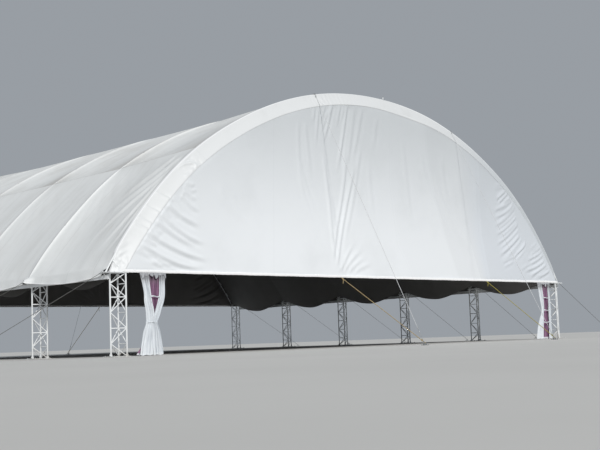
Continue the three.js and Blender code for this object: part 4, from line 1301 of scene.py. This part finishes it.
def drape(name, which, centre, columns, layer, pleats, finish, flat, seed):
    """One hanging cloth: level rows between two edges, with sine pleats that deepen where the cloth
    is drawn together and a finer ruffle at the heading."""
    piece = Piece(name, finish)
    z = np.linspace(2.855, 0.02, 120)[:, None]
    u = np.linspace(0, 1, 30 + 11 * pleats)[None]
    left = centre + edges(which, columns[0], z)
    right = centre + edges(which, columns[1], z)
    span = right - left
    drawn = np.clip(span.max() / span, 1, 3.2)
    phase = seed + 0.5 * np.sin(z * 2.3 + seed) + 0.25 * np.sin(z * 5.1)
    uneven = u + 0.06 * np.sin(2 * np.pi * u + seed) / pleats * 3
    wave = np.sin(2 * np.pi * pleats * uneven + phase)
    wave = wave + 0.3 * np.sin(4 * np.pi * pleats * uneven + phase * 1.7)
    depth = 0.030 * (0.5 + 0.5 * drawn) * (0.6 + 0.4 * np.sin(u * 9 + seed))
    depth = depth * (1 + 0.6 * smooth((1.1 - z) / 0.3))
    ruffle = 0.018 * np.sin(2 * np.pi * pleats * 3.4 * u + seed) * smooth((z - 2.50) / 0.2)
    if layer > 0:
        layer = layer + 0.055 * smooth((1.85 - z) / 0.35)
        depth = depth * 0.7
    y = FRONT_Y + HEM_Y + layer + depth * wave + ruffle
    x = left + span * (u + 0.010 * np.cos(2 * np.pi * pleats * u + phase))
    foot = 0.012 * np.sin(2 * np.pi * pleats * u / 2 + seed) * smooth((0.3 - z) / 0.3)
    piece.cloth(together(x, y, z + foot), AHEAD, together(u * flat[0], z), 0.0015, 0)
    made = piece.done("drape", f"curtain_{which}", sharp=60)


def ribbon(piece, x0, x1, z, y, tall, bulge, seed):
    """A narrow band across the gathers: a strip bowed forward, with a slow wave."""
    u = np.linspace(0, 1, 26)[None]
    v = np.linspace(-0.5, 0.5, 7)[:, None]
    x = x0 + (x1 - x0) * u
    z = z + v * tall * (1 - 0.35 * np.sin(np.pi * u)) + 0.014 * np.sin(u * 7 + seed)
    y = y - bulge * np.sin(np.pi * u) ** 0.7 - 0.006 * np.cos(v * 6)
    piece.cloth(together(x, y, z), AHEAD, together(x, z), 0.002, 0)


def heading(piece, x0, x1, seed):
    """The ruffle under the hem: a strip whose lower edge falls in points, with sine pleats."""
    u = np.linspace(0, 1, 91)[None]
    v = np.linspace(0, 1, 9)[:, None]
    falls = np.abs(np.sin(np.pi * 5.5 * u + seed)) * (0.7 + 0.5 * np.sin(u * 13 + seed))
    z = 2.855 - v * (0.05 + 0.13 * falls)
    x = x0 + (x1 - x0) * u + 0.012 * v * np.sin(u * 40 + seed)
    y = FRONT_Y - 0.335 - 0.014 * np.sin(u * 57 + seed) * (0.4 + v)
    piece.cloth(together(x, y, z), AHEAD, together(x, z), 0.0015, 0)


for which, centre, narrow, waist, ties, last in CURTAINS:
    drape(f"purple_gather_{which}", which, centre, (3, 4), 0.035, 8, PURPLE_DRAPE, (1.3, 2.85), 0.7)
    drape(f"white_drape_{which}_a", which, centre, (1, 2), -0.02, 4, WHITE_DRAPE, (0.9, 2.85), 2.1)
    drape(f"white_drape_{which}_b", which, centre, (5, 6), -0.02, 3, WHITE_DRAPE, (narrow, 2.85), 4.4)
    piece = Piece(f"ribbons_{which}", WHITE_DRAPE)
    heading(piece, *(centre + float(edges(which, c, 2.86)) for c in (1, 6)), centre)
    for n, z in enumerate(ties):
        inner = centre + float(edges(which, 2, z)) - 0.04
        outer = centre + float(edges(which, 5, z)) + 0.04
        ribbon(piece, inner, outer, z, FRONT_Y - 0.33, 0.055, 0.03, n)
    left, right = (centre + float(edges(which, c, waist)) for c in (1, last))
    turn = np.linspace(0, 2 * np.pi, 40, endpoint=False)
    rise = np.array([-0.012, 0.0, 0.012])[:, None] + 0.012 * np.sin(3 * turn)
    ring = together((left + right) / 2 + ((right - left) / 2 + 0.008) * np.cos(turn),
                    FRONT_Y + HEM_Y + 0.060 * np.sin(turn), waist + rise)
    piece.rings(ring[None])
    piece.done("drape", f"curtain_{which}", sharp=60)


# Small post on the ridge
post = Piece("ridge_post", PAINT, ZINC)
post_angle = 0.70 / RADIUS
base = on_arch(arch_radius(np.array(post_angle)) - 0.02, np.array(post_angle), FRONT_Y)
post.bars([base], [base + UP * 0.15], 0.022, 12)
post.bars([base + UP * 0.02], [base + UP * 0.035], 0.05, 12, 1)
post.bars([base + UP * 0.15], [base + UP * 0.165], 0.03, 12, 1)
post.done("frame_paint")


# Floor and light

def floor():
    """A level square, far wider than the hall."""
    reach = 500.0
    line = np.linspace(-reach, reach, 9)
    x, y = np.meshgrid(line, line)
    mesh = bpy.data.meshes.new("floor")
    quads = grid_quads(np.arange(x.size).reshape(x.shape))
    mesh.from_pydata(together(x, y, -0.001).reshape(-1, 3).tolist(), [], quads.tolist())
    mesh.materials.append(floor_finish())
    put("floor", mesh)


def light():
    """A soft sun from the front left and an even pale sky."""
    data = bpy.data.lights.new("key", "SUN")
    data.energy = 2.45
    data.angle = math.radians(7)
    data.color = (1.0, 0.985, 0.96)
    lamp = put("key", data)
    lamp.rotation_euler = Vector((-0.30, -0.75, 0.59)).to_track_quat("Z", "Y").to_euler()
    world = bpy.data.worlds.new("sky")
    world.use_nodes = True
    sky = world.node_tree.nodes["Background"]
    sky.inputs["Color"].default_value = (0.315, 0.34, 0.37, 1)
    sky.inputs["Strength"].default_value = 1.0
    bpy.context.scene.world = world


floor()
light()
bpy.context.scene.view_settings.view_transform = "Standard"
